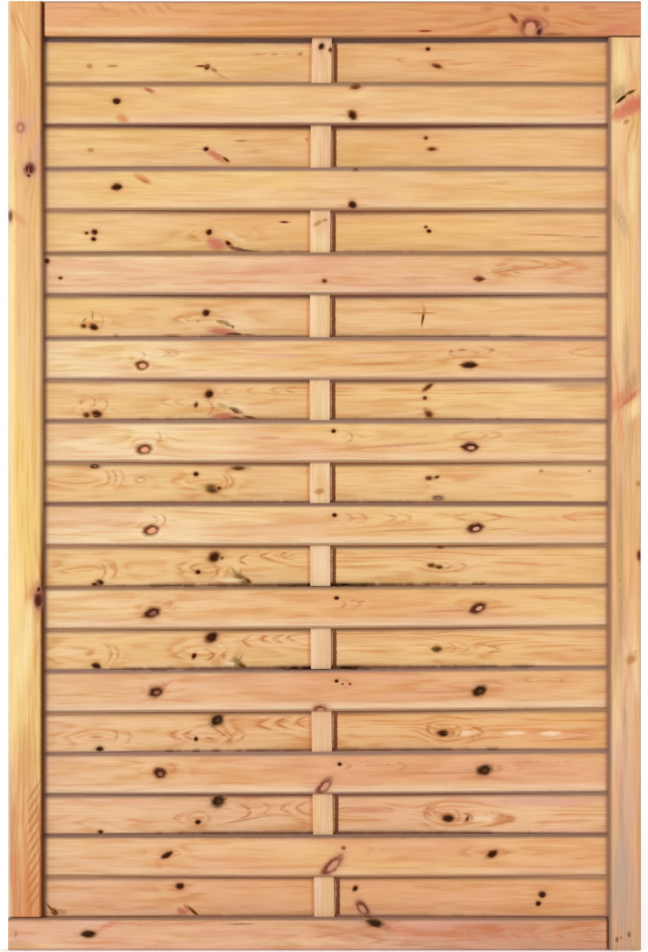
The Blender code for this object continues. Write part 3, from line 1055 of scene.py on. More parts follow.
def slat(number, material):
    height = slat_middle(number)
    half_length = inner_width / 2 + SLAT_ENTRY
    bm = bmesh.new()
    end = bm.faces.new([bm.verts.new((-half_length, y, z)) for y, z in slat_section(number)])
    grown = bmesh.ops.extrude_face_region(bm, geom=[end])["geom"]
    tip = [item for item in grown if isinstance(item, bmesh.types.BMVert)]
    bmesh.ops.translate(bm, vec=(2 * half_length, 0, 0), verts=tip)
    bevel(bm, long_edges(bm, half_length), EDGE_EASING, EASING_STEPS)
    for step in range(1, 2 * BEND_STEPS):
        station = half_length * (step / BEND_STEPS - 1)
        bmesh.ops.bisect_plane(
            bm, geom=bm.verts[:] + bm.edges[:] + bm.faces[:], plane_co=(station, 0, 0), plane_no=(1, 0, 0)
        )
    board = bm.verts.layers.float_vector.new("board")
    for vert in bm.verts:
        vert[board] = vert.co
        vert.co.y += bow(number, vert.co.x)
        vert.co.z += creep(vert.co.x, height + vert.co.z)
    piece = object_of("slat_%02d_board" % number, bm)
    piece.data.materials.append(material)
    piece.data.transform(Matrix.Translation((middle_x, 0, height)))
    dress(piece, "slat_%02d" % number, "front_slat_pine" if in_front(number) else "rear_slat_pine")


def slat_place(number):
    """A function that turns a pixel of the photograph into a slat's own X and Z."""
    height = slat_middle(number)

    def place(across, down):
        x, z = seen_at(across, down, frame_depth / 2)
        depth = frame_depth / 2 - SLAT_THICKNESS / 2 + bow(number, x - middle_x)
        x, z = seen_at(across, down, depth)
        return x - middle_x, z - height - creep(x - middle_x, z)

    return place


BEHIND_FACE = 0.001


def slat_edge(number, side):
    """The distance inside a slat's upper or lower edge, which laps differently at its back."""

    def inside(own):
        at_back = maths("GREATER_THAN", own.y, BEHIND_FACE)
        return plus_share(slat_face(number) / 2, at_back, slat_lap(number)) - own.z * side

    return inside


def slat_end(own):
    """The distance from a slat's visible ends."""
    return inner_width / 2 - abs(own.x)


GAP_SHADE_PATCHES = ((34.0, 10.0, 10.0), 1.5, 0.6)
GAP_SHADE_GRAINS = ((70.0, 10.0, 10.0), 1.0, 0.6)
GAP_SHADE_WANDER = 0.7
GAP_SHADE_FADES = 0.7
GAP_SHADE_CORE = 0.055
GAP_SHADE_BREAKS = (0.36, 0.58, 0.75, 1.0)


def gap_shade_share(reach, near, far):
    """The share of the painted shade in a gap: thickest beside the batten, and uneven and fading farther from
    it.
    """

    def share(own, place):
        away = abs(own.x)
        patches = noise_of(place, *GAP_SHADE_PATCHES) - NOISE_MIDDLE
        faded = fading(plus_share(away, patches, GAP_SHADE_WANDER), reach * GAP_SHADE_FADES, reach)
        level = eased(away, GAP_SHADE_CORE, GAP_SHADE_CORE * 2, near, far)
        grains = eased(noise_of(place, *GAP_SHADE_GRAINS), *GAP_SHADE_BREAKS)
        return faded * level * grains

    return share


# Grime and painted shade reach farther over a rear slat's upper edge, which lies in the shade of a front
# slat.
REAR_UPPER = dict(reach=0.0120, flat=0.12, worn=0.8)
REAR_LOWER = dict(reach=0.0062, flat=0.0, worn=1.3)
FRONT_UPPER = dict(reach=0.0115, flat=0.3, worn=0.2)
FRONT_LOWER = dict(reach=0.0078, flat=0.12, worn=1.0)
FIRST_UPPER = dict(reach=0.0076, flat=0.2, worn=0.0)
END_REACH, END_SHARE = 0.0085, 0.9
LINE_SHADE = tone(146, 118, 106)
LINE_DARK = tone(124, 88, 70)
LINE_MAUVE = tone(154, 120, 102)
LINE_BROWN = tone(156, 120, 90)
LINE_PLUM = tone(140, 106, 88)
LINE_PALE = tone(186, 142, 112)
GAP_SHADE = tone(66, 28, 4)
GAP_SHADE_HEIGHT = 0.0098
END_SHADE = tone(172, 128, 104)

# The lines of grime and painted shade at the joints, from the top of the first slat to the foot of the last
# one.
JOINT_LINES = [
    LINE_SHADE, LINE_BROWN, LINE_DARK, LINE_MAUVE, LINE_BROWN, LINE_BROWN, LINE_PLUM, LINE_MAUVE, LINE_MAUVE,
    LINE_MAUVE, LINE_BROWN, LINE_PLUM, LINE_BROWN, LINE_BROWN, LINE_BROWN, LINE_MAUVE, LINE_BROWN, LINE_MAUVE,
    LINE_PLUM, LINE_PLUM, LINE_BROWN, LINE_PALE,
]
SLAT_TONES = {
    1: (STRAW, HONEY, AMBER), 2: (HONEY, STRAW, HONEY), 3: (STRAW, HONEY, HONEY), 4: (STRAW, STRAW, HONEY),
    5: (STRAW, HONEY, HONEY), 6: (CREAM, ROSE, ROSE), 7: (STRAW, STRAW, HONEY), 8: (IVORY, HONEY, STRAW),
    9: (STRAW, STRAW, STRAW), 10: (IVORY, STRAW, STRAW), 11: (STRAW, STRAW, STRAW), 12: (IVORY, STRAW, STRAW),
    13: (STRAW, STRAW, HONEY), 14: (CREAM, AMBER, STRAW), 15: (STRAW, STRAW, HONEY),
    16: (BLUSH, SALMON, HONEY), 17: (BLUSH, HONEY, AMBER), 18: (BLUSH, SALMON, PEACH),
    19: (BLUSH, ROSE, BLUSH), 20: (BLUSH, HONEY, PEACH), 21: (ROSE, PEACH, SALMON),
}
LAST_SMOOTH_SLAT = 5
LAST_GOLDEN_SLAT = 7
# A line of painted shade under a rear slat, where a gap opens beside the batten, reaches so far from the
# batten, with one share close to it and one farther off.
GAP_SHADE_LINES = {
    5: (0.12, 0.25, 0.25), 7: (0.36, 0.5, 0.44), 9: (0.32, 0.36, 0.34), 11: (0.20, 0.34, 0.3),
    13: (0.32, 1.0, 0.6), 15: (0.38, 1.0, 0.5), 17: (0.28, 0.5, 0.52), 19: (0.34, 0.55, 0.5),
    21: (0.30, 0.2, 0.2),
}
# How far the painted shade of the slat above spills over the top edge of a front slat.
GAP_SHADE_SPILLS = {14: 0.0036, 16: 0.0046}
PALE_MARGINS = {2: 0.6, 4: 0.4, 6: 0.5, 8: 0.5, 10: 0.6, 12: 0.7, 14: 0.8, 16: 0.9, 18: 0.9, 20: 0.4}
# Painted shade beside the batten, on the face of a slat that lies against it: a faint reddish
# line on its left, and the batten's painted shadow on its right.
LEFT_SHADE_OFF, LEFT_SHADE_BAND = 1.6, dict(width=3.0, kind="rust", share=0.42)
SHADE_OFF, SHADE_BAND = 2.6, dict(width=2.0, kind="shade", share=0.95)
FIRST_SLAT_SEED = 11.0
FRONT_GRAIN = Grain(0.085, 0.012, 0.0042, 2.0, 0.44, 0.4, 0.6)
REAR_GRAIN = Grain(0.11, -0.004, 0.0042, 1.8, 0.44, 0.12, 0.6)
SMOOTH_LATE = 0.26
FULL_GOLD = 1.0

SLAT_KNOTS = {
    1: [Knot(90, 66, 2.2, "faint"), Knot(113, 66, 1.2, "faint", 3.5), Knot(207, 67, 2.6, "dead", 1.1, 20),
        Knot(201, 66, 0.9, "brown", 5), Knot(214, 70, 1.6, "russet", 2.2, -20), Knot(427, 49, 2, "dead", 1.2),
        Knot(436, 66, 2.1, "brown", 2.4, -15), Knot(300, 54, 1.4, "faint", 1.4, 40)],
    2: [Knot(117, 101, 3, "dead", 1.3), Knot(149, 90, 2.0, "russet", 2.8, -25),
        Knot(355, 86, 3.4, "brown", 1.6, 10), Knot(352, 115, 4.0, "dead", 1.2, -50)],
    3: [Knot(91, 150, 1.8, "faint", 1.6), Knot(206, 149, 2.2), Knot(241, 141, 1, "faint", 5),
        Knot(226, 159.5, 1.4, "brown", 2.4, -35), Knot(425, 138, 1.8, "brown"),
        Knot(431, 149, 2, "brown", 2.2)],
    4: [Knot(117, 187, 3.3, "dead", 1.7, 8, 0.3), Knot(143, 179, 3.2, "amber", 2.8, -28),
        Knot(145, 181, 1.0, "russet", 4, -30), Knot(355, 169, 2, "brown", 1.6),
        Knot(352, 205, 4.0, "dead", 1.1, -40)],
    5: [Knot(95, 232, 2.6, "dead", 1.2), Knot(94, 239, 2.2), Knot(87, 233, 1.6, "brown"),
        Knot(209, 232, 2.7, "dead", 1.2, 30), Knot(284, 222, 1, "brown", 4), Knot(425, 227, 1.4, "brown"),
        Knot(428, 231, 2), Knot(228, 243, 1.8, "dead", 1.6, -30)],
    6: [Knot(47, 261, 2.6), Knot(61, 278, 1.6, "brown"), Knot(324, 281, 2, "brown"),
        Knot(478, 279, 2.6, "brown", 2.2, 0, 0.8)],
    7: [Knot(94, 327, 3, "dead", 1.5, -20), Knot(84, 326, 2.2, "brown"), Knot(206, 313, 3.2, "dead", 1.2, 30),
        Knot(93, 315, 1.0, "faint", 3.4, 88), Knot(85, 320, 1.0, "faint", 2.4, 50),
        Knot(198, 321, 1.1, "faint"), Knot(422, 318, 1, "brown", 6, 82), Knot(422, 313, 0.9, "faint", 12)],
    8: [Knot(142, 365, 4.6, "live", 1.5, 5, 0.3), Knot(468, 365, 3.4, "dead", 2.6, 0, 1.0),
        Knot(461, 350, 1.2, "faint", 3), Knot(450, 351, 1, "faint", 2), Knot(491, 350, 1.2, "faint", 2)],
    9: [Knot(97, 414, 3.6, "dead", 1.5, -10), Knot(87, 415, 2.6, "brown"),
        Knot(209, 394, 3.8, "dead", 1.15, 30), Knot(196, 405, 1.8, "brown", 1.4, 70),
        Knot(427, 387, 2, "brown", 3, 38), Knot(424, 398, 1.8, "brown"), Knot(424, 409, 1.4, "faint"),
        Knot(428, 414, 3, "brown", 1.4, -40)],
    10: [Knot(144, 449, 5.2, "live", 1.5, 8, 0.2), Knot(469, 447, 4.6, "arched", 2.0, 0, 0.9),
         Knot(333, 431, 1.9)],
    11: [Knot(95, 466, 2.4, "ringed", 2), Knot(196, 474, 2.2), Knot(212, 489, 4, "olive", 1.6, -10),
         Knot(219, 488, 1.8, "brown"), Knot(238, 468, 2.4, "olive", 2.6),
         Knot(428, 478, 2.2, "brown", 1.5, 10), Knot(436, 477, 1.5, "olive", 1.6, 20),
         Knot(437, 498, 2.6, "smoky", 2), Knot(540, 471, 1.6, "faint"), Knot(588, 471, 1.2, "faint")],
    12: [Knot(151, 530, 5.2, "live", 1.6, 16, 0.3), Knot(474, 528, 4.8, "arched", 1.8, 8, 0.5),
         Knot(334, 515, 1.9)],
    13: [Knot(100, 583, 3.2, "black", 1.2), Knot(95, 584.5, 1.8, "dead", 1.6),
         Knot(214, 557, 4.8, "dead", 1.3, 35), Knot(222, 558, 1.1, "olive", 1.4, 50), Knot(198, 572, 2.2),
         Knot(248, 581, 1.6, "olive", 2.2, -40), Knot(431, 565.5, 2.2, "brown", 2.0, -6, 0.6),
         Knot(438, 567, 2.0, "olive", 1.9, 0, 0.4), Knot(439, 547, 1.6, "brown", 2.6)],
    14: [Knot(152, 613, 4.8, "ringed", 1.8, 22, 0.4), Knot(477, 608, 4.8, "arched", 1.8, 24, 0.4),
         Knot(336, 598, 1.8, "dead", 1.4)],
    15: [Knot(97, 666, 3, "black", 1.6, -20, 0.4), Knot(211.5, 637, 5.2, "dead", 1.35, 35),
         Knot(194, 656, 2.2, "dead", 1.3, 60), Knot(242, 666, 1.8, "olive", 2.4, -30),
         Knot(436, 649, 3, "olive", 1.8, 0, 0.5)],
    16: [Knot(156, 692, 5.0, "ringed", 1.45, 20, 0.2), Knot(336, 681, 1.8), Knot(342, 684, 0.9, "brown"),
         Knot(349.5, 684, 1.0, "brown"), Knot(478, 691, 5.0, "dark", 1.5, 25, 0.2),
         Knot(319, 710.5, 5.0, "red", 1.4, 10)],
    17: [Knot(100, 749, 2.6, "black", 1.4), Knot(217, 720, 5.4, "dark", 1.25, 35),
         Knot(196, 739, 2.2, "dead", 0.9), Knot(442, 733, 3.4, "dead", 1.7), Knot(452, 733, 1.8, "faint")],
    18: [Knot(160, 773, 5.0, "ringed", 1.25, -10, 0.2), Knot(339, 764, 1.9),
         Knot(483, 770, 4.8, "dark", 1.5, 12), Knot(323, 787, 4.6, "red", 2.2, 48)],
    19: [Knot(101, 832, 2.2), Knot(218, 801, 5.6, "dark", 1.25, 30), Knot(198, 822, 2.5),
         Knot(447, 818, 4, "dead", 1.5), Knot(466, 819, 1.4, "brown", 2, 60)],
    20: [Knot(167, 855, 2.9, "dead", 2.2, 30, 0.4), Knot(343, 848, 1.6, "brown"),
         Knot(491, 854, 3.4, "dead", 1.7, 25), Knot(331, 866, 5.0, "red", 2.6, 44)],
    21: [Knot(180, 886, 3.4, "dead", 1.25), Knot(55, 912, 2.6, "dead", 1.5, -50),
         Knot(51, 908, 0.8, "brown", 6, -48), Knot(354.5, 888.5, 2.4, "dead", 1.3, 50),
         Knot(362, 908, 4.4, "red", 2.0, -52), Knot(541, 894.5, 3.2, "dead", 1.2),
         Knot(537, 903.5, 2.6, "dead", 1.05), Knot(193.5, 911.5, 1.4, "brown", 5, -42)],
}
SLAT_STAINS = {
    1: [Stain(270, 54, 34, 1.6, "rust", 0, 0.6, 1.0), Stain(520, 66, 22, 1.5, "orange", 0, 0.8),
        Stain(462, 64, 16, 1.3, "rust", 4, 0.5), Stain(222, 76, 12, 2.4, "rust", -25, 0.4)],
    2: [Stain(123, 118, 9, 6, "orange", -20, 1.0), Stain(598, 112, 5, 1.5, "orange", 0, 0.6)],
    3: [Stain(216, 155.5, 17, 4.6, "rust", -32, 0.6), Stain(217, 156, 15, 4.5, "red", -32, 0.8),
        Stain(307, 139, 3, 3, "rust", 0, 0.6)],
    5: [Stain(217, 244, 15, 8.4, "red", -22, 1.0), Stain(231, 246, 8, 3.4, "umber", -40, 0.95),
        Stain(239, 249.5, 11, 3, "umber", -12, 0.9), Stain(247, 250.5, 12, 1.6, "black", -4, 0.7),
        Stain(545, 235, 32, 1.2, "rust", -2, 0.7), Stain(590, 237, 14, 1.2, "rust", 0, 0.6),
        Stain(235, 237, 16, 4, "pale", -24, 0.5)],
    6: [Stain(90, 273, 34, 2.5, "pale", 0, 0.6), Stain(420, 278, 46, 1.5, "rust", 0, 0.6, 1.0),
        Stain(520, 269, 44, 1.6, "rust", 7, 0.6), Stain(560, 264, 22, 4, "orange", 0, 0.5)],
    7: [Stain(236, 322, 22, 9, "pale", -12, 0.5), Stain(222, 331.5, 19, 5, "red", -4, 1.0),
        Stain(224, 322.5, 10, 3.2, "moss", -10, 0.9), Stain(221, 321.5, 6, 1.8, "green", -10, 0.5),
        Stain(228, 324.5, 5, 1.8, "green", -30, 0.8), Stain(233, 326.5, 3, 2, "umber", -60, 0.8),
        Stain(233, 334, 11, 2.4, "umber", 0, 0.95), Stain(238, 334.3, 6, 1.6, "black", 0, 0.7),
        Stain(249, 334.5, 9, 1.4, "umber", 0, 0.6)],
    8: [Stain(142, 353, 16, 5, "pale", 0, 0.6), Stain(385, 363.5, 60, 2.6, "rust", 2, 0.5),
        Stain(400, 352, 60, 1.8, "grain", 2, 0.35), Stain(370, 357, 34, 1.6, "pink", 0, 0.7),
        Stain(275, 356, 40, 3.4, "pink", 0, 0.8, 0.5), Stain(240, 349, 60, 2, "red", 0, 0.35),
        Stain(90, 355, 20, 2, "red", 0, 0.3), Stain(540, 361, 50, 1.6, "orange", 3, 0.5)],
    9: [Stain(232, 405, 24, 9, "pale", -20, 0.5), Stain(224, 416, 15, 5, "red", 0, 1.0),
        Stain(223, 406, 8, 3.2, "moss", -25, 0.7), Stain(236, 410.5, 10, 3.4, "green", -22, 0.95),
        Stain(235, 411, 6, 2, "umber", -30, 0.85), Stain(237, 418, 9, 2.2, "umber", -6, 0.95),
        Stain(250, 417.5, 10, 2.4, "umber", -12, 0.95), Stain(251, 417.8, 6, 1.4, "black", -12, 0.7),
        Stain(575, 386, 40, 3, "grey", 0, 0.55), Stain(82, 402, 3, 3, "red", 0, 0.6)],
    10: [Stain(150, 437, 16, 4, "pale", 0, 0.5), Stain(80, 438, 20, 2.5, "red", 0, 0.35),
         Stain(268, 438, 18, 2.5, "red", 0, 0.5), Stain(200, 429, 40, 2, "red", 0, 0.35),
         Stain(400, 445, 60, 2.4, "rust", 4, 0.5), Stain(548, 432, 44, 2, "rust", 0, 0.5, 0.6),
         Stain(560, 433, 40, 2, "orange", 0, 0.6, 0.7)],
    11: [Stain(242, 468, 12, 3.5, "olive", 0, 0.7, 0.3), Stain(470, 475.5, 26, 3.4, "orange", 2, 0.7, 0.3)],
    12: [Stain(200, 513, 44, 1.8, "red", -3, 0.4), Stain(110, 532, 40, 2, "orange", 0, 0.35),
         Stain(412, 530, 56, 2.2, "rust", 2, 0.55), Stain(500, 516, 24, 1.6, "grain", -8, 0.5),
         Stain(370, 527, 36, 2, "orange", 4, 0.5), Stain(500, 529, 24, 1.3, "rust", 3, 0.5),
         Stain(575, 516, 18, 2, "orange", 0, 0.6)],
    13: [Stain(240, 577.5, 13, 6.4, "moss", -30, 0.9), Stain(241, 578, 9, 4.4, "green", -32, 0.95),
         Stain(247, 581.5, 8, 4.4, "umber", -40, 0.95), Stain(234, 570.5, 6, 1.8, "green", -50, 0.5),
         Stain(241, 572, 5, 1.6, "umber", 80, 0.3), Stain(231, 580.3, 15, 2.6, "pale", 0, 1.0),
         Stain(222, 577, 5, 6, "pale", 0, 0.3), Stain(360, 558, 24, 1.8, "orange", 0, 0.5)],
    14: [Stain(170, 603, 12, 3, "red", 20, 0.5), Stain(358, 601, 20, 1.6, "rust", -4, 0.8, 1.0),
         Stain(445, 611, 30, 1.4, "rust", 2, 0.5), Stain(500, 607, 20, 1.3, "rust", 0, 0.5),
         Stain(560, 598, 44, 1.7, "orange", 0, 0.6)],
    15: [Stain(91, 653, 7, 4, "rust", 20, 0.55), Stain(66, 652, 24, 5, "pale", 0, 0.5),
         Stain(238, 662, 9, 6.4, "moss", -50, 0.8), Stain(237.5, 662.5, 6, 5, "green", -60, 0.95),
         Stain(243, 665.5, 7, 3, "umber", -25, 0.95), Stain(241, 658, 6, 1.6, "umber", 55, 0.45),
         Stain(232.5, 660, 5, 1.4, "umber", 30, 0.35), Stain(224, 656, 2.8, 4.2, "rust", 0, 0.7),
         Stain(231, 664, 7, 2.6, "pale", 0, 0.9), Stain(217, 662, 8, 5, "orange", 0, 0.7),
         Stain(400, 640, 30, 2, "orange", 0, 0.4)],
    16: [Stain(167, 684, 10, 3, "red", 25, 0.5), Stain(355, 683, 20, 1.5, "rust", 0, 0.7, 1.0),
         Stain(440, 692, 50, 1.4, "rust", 0, 0.4), Stain(490, 681, 20, 2.5, "red", 0, 0.5, 0.5),
         Stain(550, 681, 34, 1.6, "orange", 0, 0.6, 0.4)],
    17: [Stain(97, 737, 9, 2.4, "rust", 0, 0.6), Stain(54, 735, 9, 2.2, "orange", 0, 0.6),
         Stain(210, 738, 6, 1.2, "rust", -10, 0.8), Stain(428, 728, 4, 3, "rust", 40, 0.5),
         Stain(220, 732, 16, 1.3, "rust", -35, 0.8), Stain(555, 735, 50, 3.4, "pink", 0, 0.5),
         Stain(533, 732, 60, 6, "orange", 0, 0.45), Stain(514, 733, 15, 3.2, "pale", 0, 0.8),
         Stain(550, 733.5, 14, 3.4, "pale", 0, 0.9), Stain(575, 738, 30, 1.4, "rust", 6, 0.5),
         Stain(465, 733, 12, 4, "pale", 0, 0.6)],
    18: [Stain(172, 765, 12, 4, "orange", 0, 0.5), Stain(385, 765, 50, 1.6, "rust", 0, 0.6, 1.0),
         Stain(440, 773, 50, 1.6, "rust", 0, 0.45), Stain(545, 762, 50, 1.5, "rust", 0, 0.5, 1.0),
         Stain(482, 777, 9, 3, "red", 0, 0.6)],
    19: [Stain(366, 810, 28, 4.5, "red", 0, 0.6), Stain(110, 803, 70, 3, "pink", 0, 0.6),
         Stain(245, 820, 34, 1.5, "rust", 10, 0.6), Stain(482, 819, 18, 4, "pale", 0, 0.6),
         Stain(503, 819, 15, 4.6, "rust", 5, 0.6), Stain(545, 802, 74, 7, "mauve", 0, 0.9),
         Stain(566, 831, 50, 3.4, "mauve", 0, 0.6), Stain(428, 811, 7, 4, "rust", 60, 0.5)],
    20: [Stain(159, 864, 8, 4, "orange", -60, 0.6), Stain(390, 849, 40, 1.4, "orange", 0, 0.6, 1.0),
         Stain(560, 850, 44, 3, "orange", 0, 0.4)],
    21: [Stain(183, 911.5, 8, 4.4, "red", -30, 1.0), Stain(187, 908, 6, 2, "rust", -50, 0.8),
         Stain(62, 912, 8, 4, "olive", 0, 0.6), Stain(390, 916, 12, 1.2, "umber", 0, 0.7, 0.5)],
}
SLAT_FIGURES = {
    1: [Figure(436, 62, 30, 60, 9, 1.2)],
    3: [Figure(215, 150, 30, 40, 11, 1.3)],
    5: [Figure(215, 236, 38, 50, 12, 2.2)],
    6: [Figure(525, 268, 42, 70, 11, 2.6)],
    7: [Figure(208, 320, 38, 45, 12, 2.2), Figure(90, 322, 16, 20, 9, 1.4)],
    8: [Figure(142, 357, 18, 24, 9, 1.8), Figure(466, 360, 40, 36, 10, 1.4),
        Figure(585, 352, 25, 60, 6, 1.6)],
    9: [Figure(94, 409, 15, 16, 10, 2.2), Figure(208, 402, 44, 40, 11, 2.4),
        Figure(290, 390, 36, 300, 7, 2.4)],
    10: [Figure(146, 441, 18, 24, 10, 1.8), Figure(468, 440, 60, 34, 10, 1.4),
         Figure(350, 437, 12, 22, 8, 1.6)],
    11: [Figure(85, 480, 60, 32, 12, 3.4), Figure(212, 482, 45, 25, 14, 2.8),
         Figure(440, 480, 15, 50, 12, 1.6)],
    12: [Figure(150, 524, 15, 25, 10, 1.8), Figure(470, 522, 40, 35, 9, 1.2),
         Figure(355, 518, 15, 40, 6, 1.0), Figure(580, 517, 20, 80, 6, 1.6)],
    13: [Figure(90, 571, 50, 30, 13, 3.4), Figure(208, 568, 35, 22, 14, 3.2),
         Figure(310, 556, 42, 500, 9, 3.6), Figure(440, 566, 20, 30, 10, 1.6)],
    14: [Figure(154, 607, 20, 30, 10, 2), Figure(475, 602, 45, 80, 9, 1.4)],
    15: [Figure(88, 654, 45, 40, 11, 3.4), Figure(205, 650, 38, 25, 14, 3.2),
         Figure(310, 639, 42, 500, 9, 4.4), Figure(447, 649, 15, 44, 9, 3.4)],
    16: [Figure(156, 686, 15, 30, 9, 1.8), Figure(478, 685, 60, 40, 8, 2.2),
         Figure(545, 681, 20, 25, 5, 1.3)],
    17: [Figure(97, 737, 32, 38, 9, 3.2), Figure(212, 732, 42, 22, 13, 3.8), Figure(335, 725, 66, 500, 13, 5),
         Figure(444, 733, 20, 32, 11, 3.4), Figure(552, 735, 50, 60, 5, 2.4)],
    18: [Figure(162, 770, 18, 25, 9, 1.6), Figure(484, 768, 40, 30, 8, 1.8)],
    19: [Figure(110, 822, 45, 50, 12, 2.2), Figure(200, 818, 30, 12, 9, 2.4),
         Figure(245, 806, 30, 40, 14, 2.4), Figure(335, 811, 46, 500, 12, 4),
         Figure(366, 810, 30, 30, 6, 1.6), Figure(451, 817, 26, 50, 12, 3.8)],
    20: [Figure(167, 852, 18, 22, 9, 1.4), Figure(490, 852, 30, 40, 8, 1.6)],
    21: [Figure(180, 890, 20, 25, 10, 1.4)],
}
SLAT_ARCS = {
    1: [Arc(398, 60, 3, -6), Arc(300, 54, 2.4, 4), Arc(275, 54, 2, 3), Arc(258, 54, 2, 3)],
    2: [Arc(580, 97, 3, 8, 2.1, "orange"), Arc(598, 112, 3, 8, 2.1, "orange")],
    5: [Arc(190, 234, 5, -9), Arc(250, 233, 5, 10, 2.1, "orange")],
    6: [Arc(545, 265, 8, 34, 2.4), Arc(565, 263, 8, 30, 2.4), Arc(492, 271, 7, -30, 2.1),
        Arc(508, 270, 5, -20)],
    7: [Arc(175, 319, 5, -12, 2.1), Arc(186, 319, 4, -9, 2.1), Arc(424, 312, 10, 3, 2.1, "umber", 0.5, 2.0),
        Arc(104, 321, 8, 4, 2.1, "rust", 0.5, 2.0)],
    8: [Arc(146, 355, 6, 10, 2.1), Arc(170, 353, 5, 9), Arc(178, 353, 5, 9), Arc(491, 351, 5, 10),
        Arc(478, 354, 5, 12), Arc(450, 354, 5, -14), Arc(570, 352, 6, -26, 2.1, "orange", 0.8)],
    9: [Arc(96, 402, 6, 5, 2.4, "grain", 0.7, 2.0), Arc(108, 404, 7, 4, 2.4, "grain", 0.6, 2.0),
        Arc(162, 402, 5, -14, 2.1), Arc(176, 402, 4, -9), Arc(213, 408, 8, 6, 2.4, "grain", 0.8, 2.0),
        Arc(225, 392, 4, -7), Arc(248, 391, 4, -8), Arc(272, 390, 4, -8), Arc(288, 390, 4, -8)],
    10: [Arc(161, 437, 7, 5, 2.4, "grain", 0.6, 2.0), Arc(500, 435, 6, 16), Arc(486, 435, 5, 12),
         Arc(455, 436, 6, -16), Arc(352, 437, 7, 8, 2.4, "grain", 0.6, 2.0)],
    11: [Arc(110, 478, 9, 5, 2.7, "grain", 0.6, 2.0), Arc(117, 478, 9, 5, 2.7, "grain", 0.6, 2.0),
         Arc(124, 478, 9, 5, 2.7, "grain", 0.5, 2.0), Arc(146, 480, 5, 10), Arc(136, 480, 5, -10),
         Arc(173, 481, 4, -8, 2.1, "orange", 0.8), Arc(187, 481, 4, -8, 2.1, "orange", 0.8),
         Arc(228, 482, 8, 6, 2.7, "grain", 0.7, 2.0), Arc(233, 482, 9, 6, 2.4, "grain", 0.6, 2.0)],
    12: [Arc(166, 520, 7, 6, 2.4, "grain", 0.6, 2.0), Arc(158, 520, 6, 6), Arc(366, 518, 6, 9),
         Arc(352, 518, 6, 8), Arc(410, 518, 6, 14), Arc(395, 518, 5, 12), Arc(500, 517, 6, 20),
         Arc(455, 517, 5, -18), Arc(562, 517, 6, -24, 2.1, "orange", 0.8)],
    13: [Arc(106, 571, 9, 5, 2.7, "grain", 0.7, 2.0), Arc(117, 570, 10, 6, 2.7, "grain", 0.7, 2.0),
         Arc(178, 567, 6, -12, 2.1), Arc(191, 568, 6, -10, 2.1), Arc(218, 571, 9, 8, 2.8, "grain", 0.8, 2.0),
         Arc(240, 560, 6, -9, 2.7, "grain", 0.85), Arc(262, 556, 5, -10, 2.7, "grain", 0.85),
         Arc(282, 555, 5, -10, 2.7, "grain", 0.85), Arc(450, 566, 5, 9), Arc(465, 566, 5, 10)],
    14: [Arc(172, 604, 6, 6), Arc(500, 603, 6, 20, 2.1, "orange", 0.7),
         Arc(455, 603, 6, -20, 2.1, "orange", 0.7), Arc(345, 604, 6, 7), Arc(360, 604, 6, 8)],
    15: [Arc(112, 654, 10, 6, 2.7, "grain", 0.7, 2.0), Arc(119, 654, 10, 6, 2.7, "grain", 0.6, 2.0),
         Arc(214, 655, 7, 9, 3.1, "grain", 0.9), Arc(244, 641, 7, -9, 2.7, "grain", 0.8),
         Arc(262, 639, 5, -9, 2.7, "grain", 0.85), Arc(275, 639, 5, -9, 2.7, "grain", 0.85),
         Arc(288, 638, 5, -10, 2.7, "grain", 0.85), Arc(175, 655, 5, -12), Arc(455, 648, 6, 8, 2.1),
         Arc(468, 648, 6, 10, 2.1), Arc(498, 649, 6, 20, 3.1, "grain", 0.8)],
    16: [Arc(166, 686, 6, 6), Arc(525, 680, 4, -12), Arc(562, 680, 4, 14), Arc(350, 684, 6, 8)],
    17: [Arc(118, 736, 8, 6, 2.7, "grain", 0.55, 2.0), Arc(131, 737, 8, 6, 2.7, "grain", 0.5, 2.0),
         Arc(172, 735, 7, -14, 2.8, "grain", 0.8), Arc(185, 735, 6, -11, 2.8, "grain", 0.8),
         Arc(232, 737, 8, 10, 2.8, "grain", 0.8), Arc(245, 735, 8, 10, 2.8, "grain", 0.7),
         Arc(258, 724, 7, -14, 3.1, "grain", 0.9), Arc(277, 723, 7, -14, 3.1, "grain", 0.9),
         Arc(297, 722, 7, -12, 2.8, "grain", 0.8), Arc(452, 733, 6, 5, 2.7, "grain", 0.8, 2.0),
         Arc(460, 731, 8, 7, 2.7, "grain", 0.7, 2.0), Arc(482, 732, 8, 16, 3.1, "grain", 0.9),
         Arc(427, 728, 8, -8, 2.7, "grain", 0.7, 2.0)],
    18: [Arc(176, 768, 6, 8), Arc(350, 766, 5, 8), Arc(405, 766, 5, 8), Arc(500, 768, 5, 14)],
    19: [Arc(175, 818, 6, -10, 2.1), Arc(188, 818, 6, -9, 2.1), Arc(250, 812, 10, 16, 3.1, "grain", 0.8, 2.0),
         Arc(270, 808, 9, 14, 2.1), Arc(282, 808, 7, -12, 2.8, "grain", 0.8),
         Arc(297, 808, 7, -12, 2.8, "grain", 0.8), Arc(459, 816, 7, 5, 2.7, "grain", 0.9, 2.0),
         Arc(471, 818, 6, 7, 2.7, "umber", 0.7), Arc(512, 819, 8, 26, 3.4, "grain", 0.8),
         Arc(424, 813, 9, -9, 2.7, "grain", 0.7, 2.0), Arc(433, 810, 7, -6, 2.7, "grain", 0.7, 2.0),
         Arc(392, 810, 4, 12), Arc(340, 810, 4, -12)],
    20: [Arc(180, 853, 5, 9, 2.1, "orange", 0.7), Arc(372, 850, 5, 8, 2.1, "orange", 0.7),
         Arc(508, 852, 5, 12)],
}

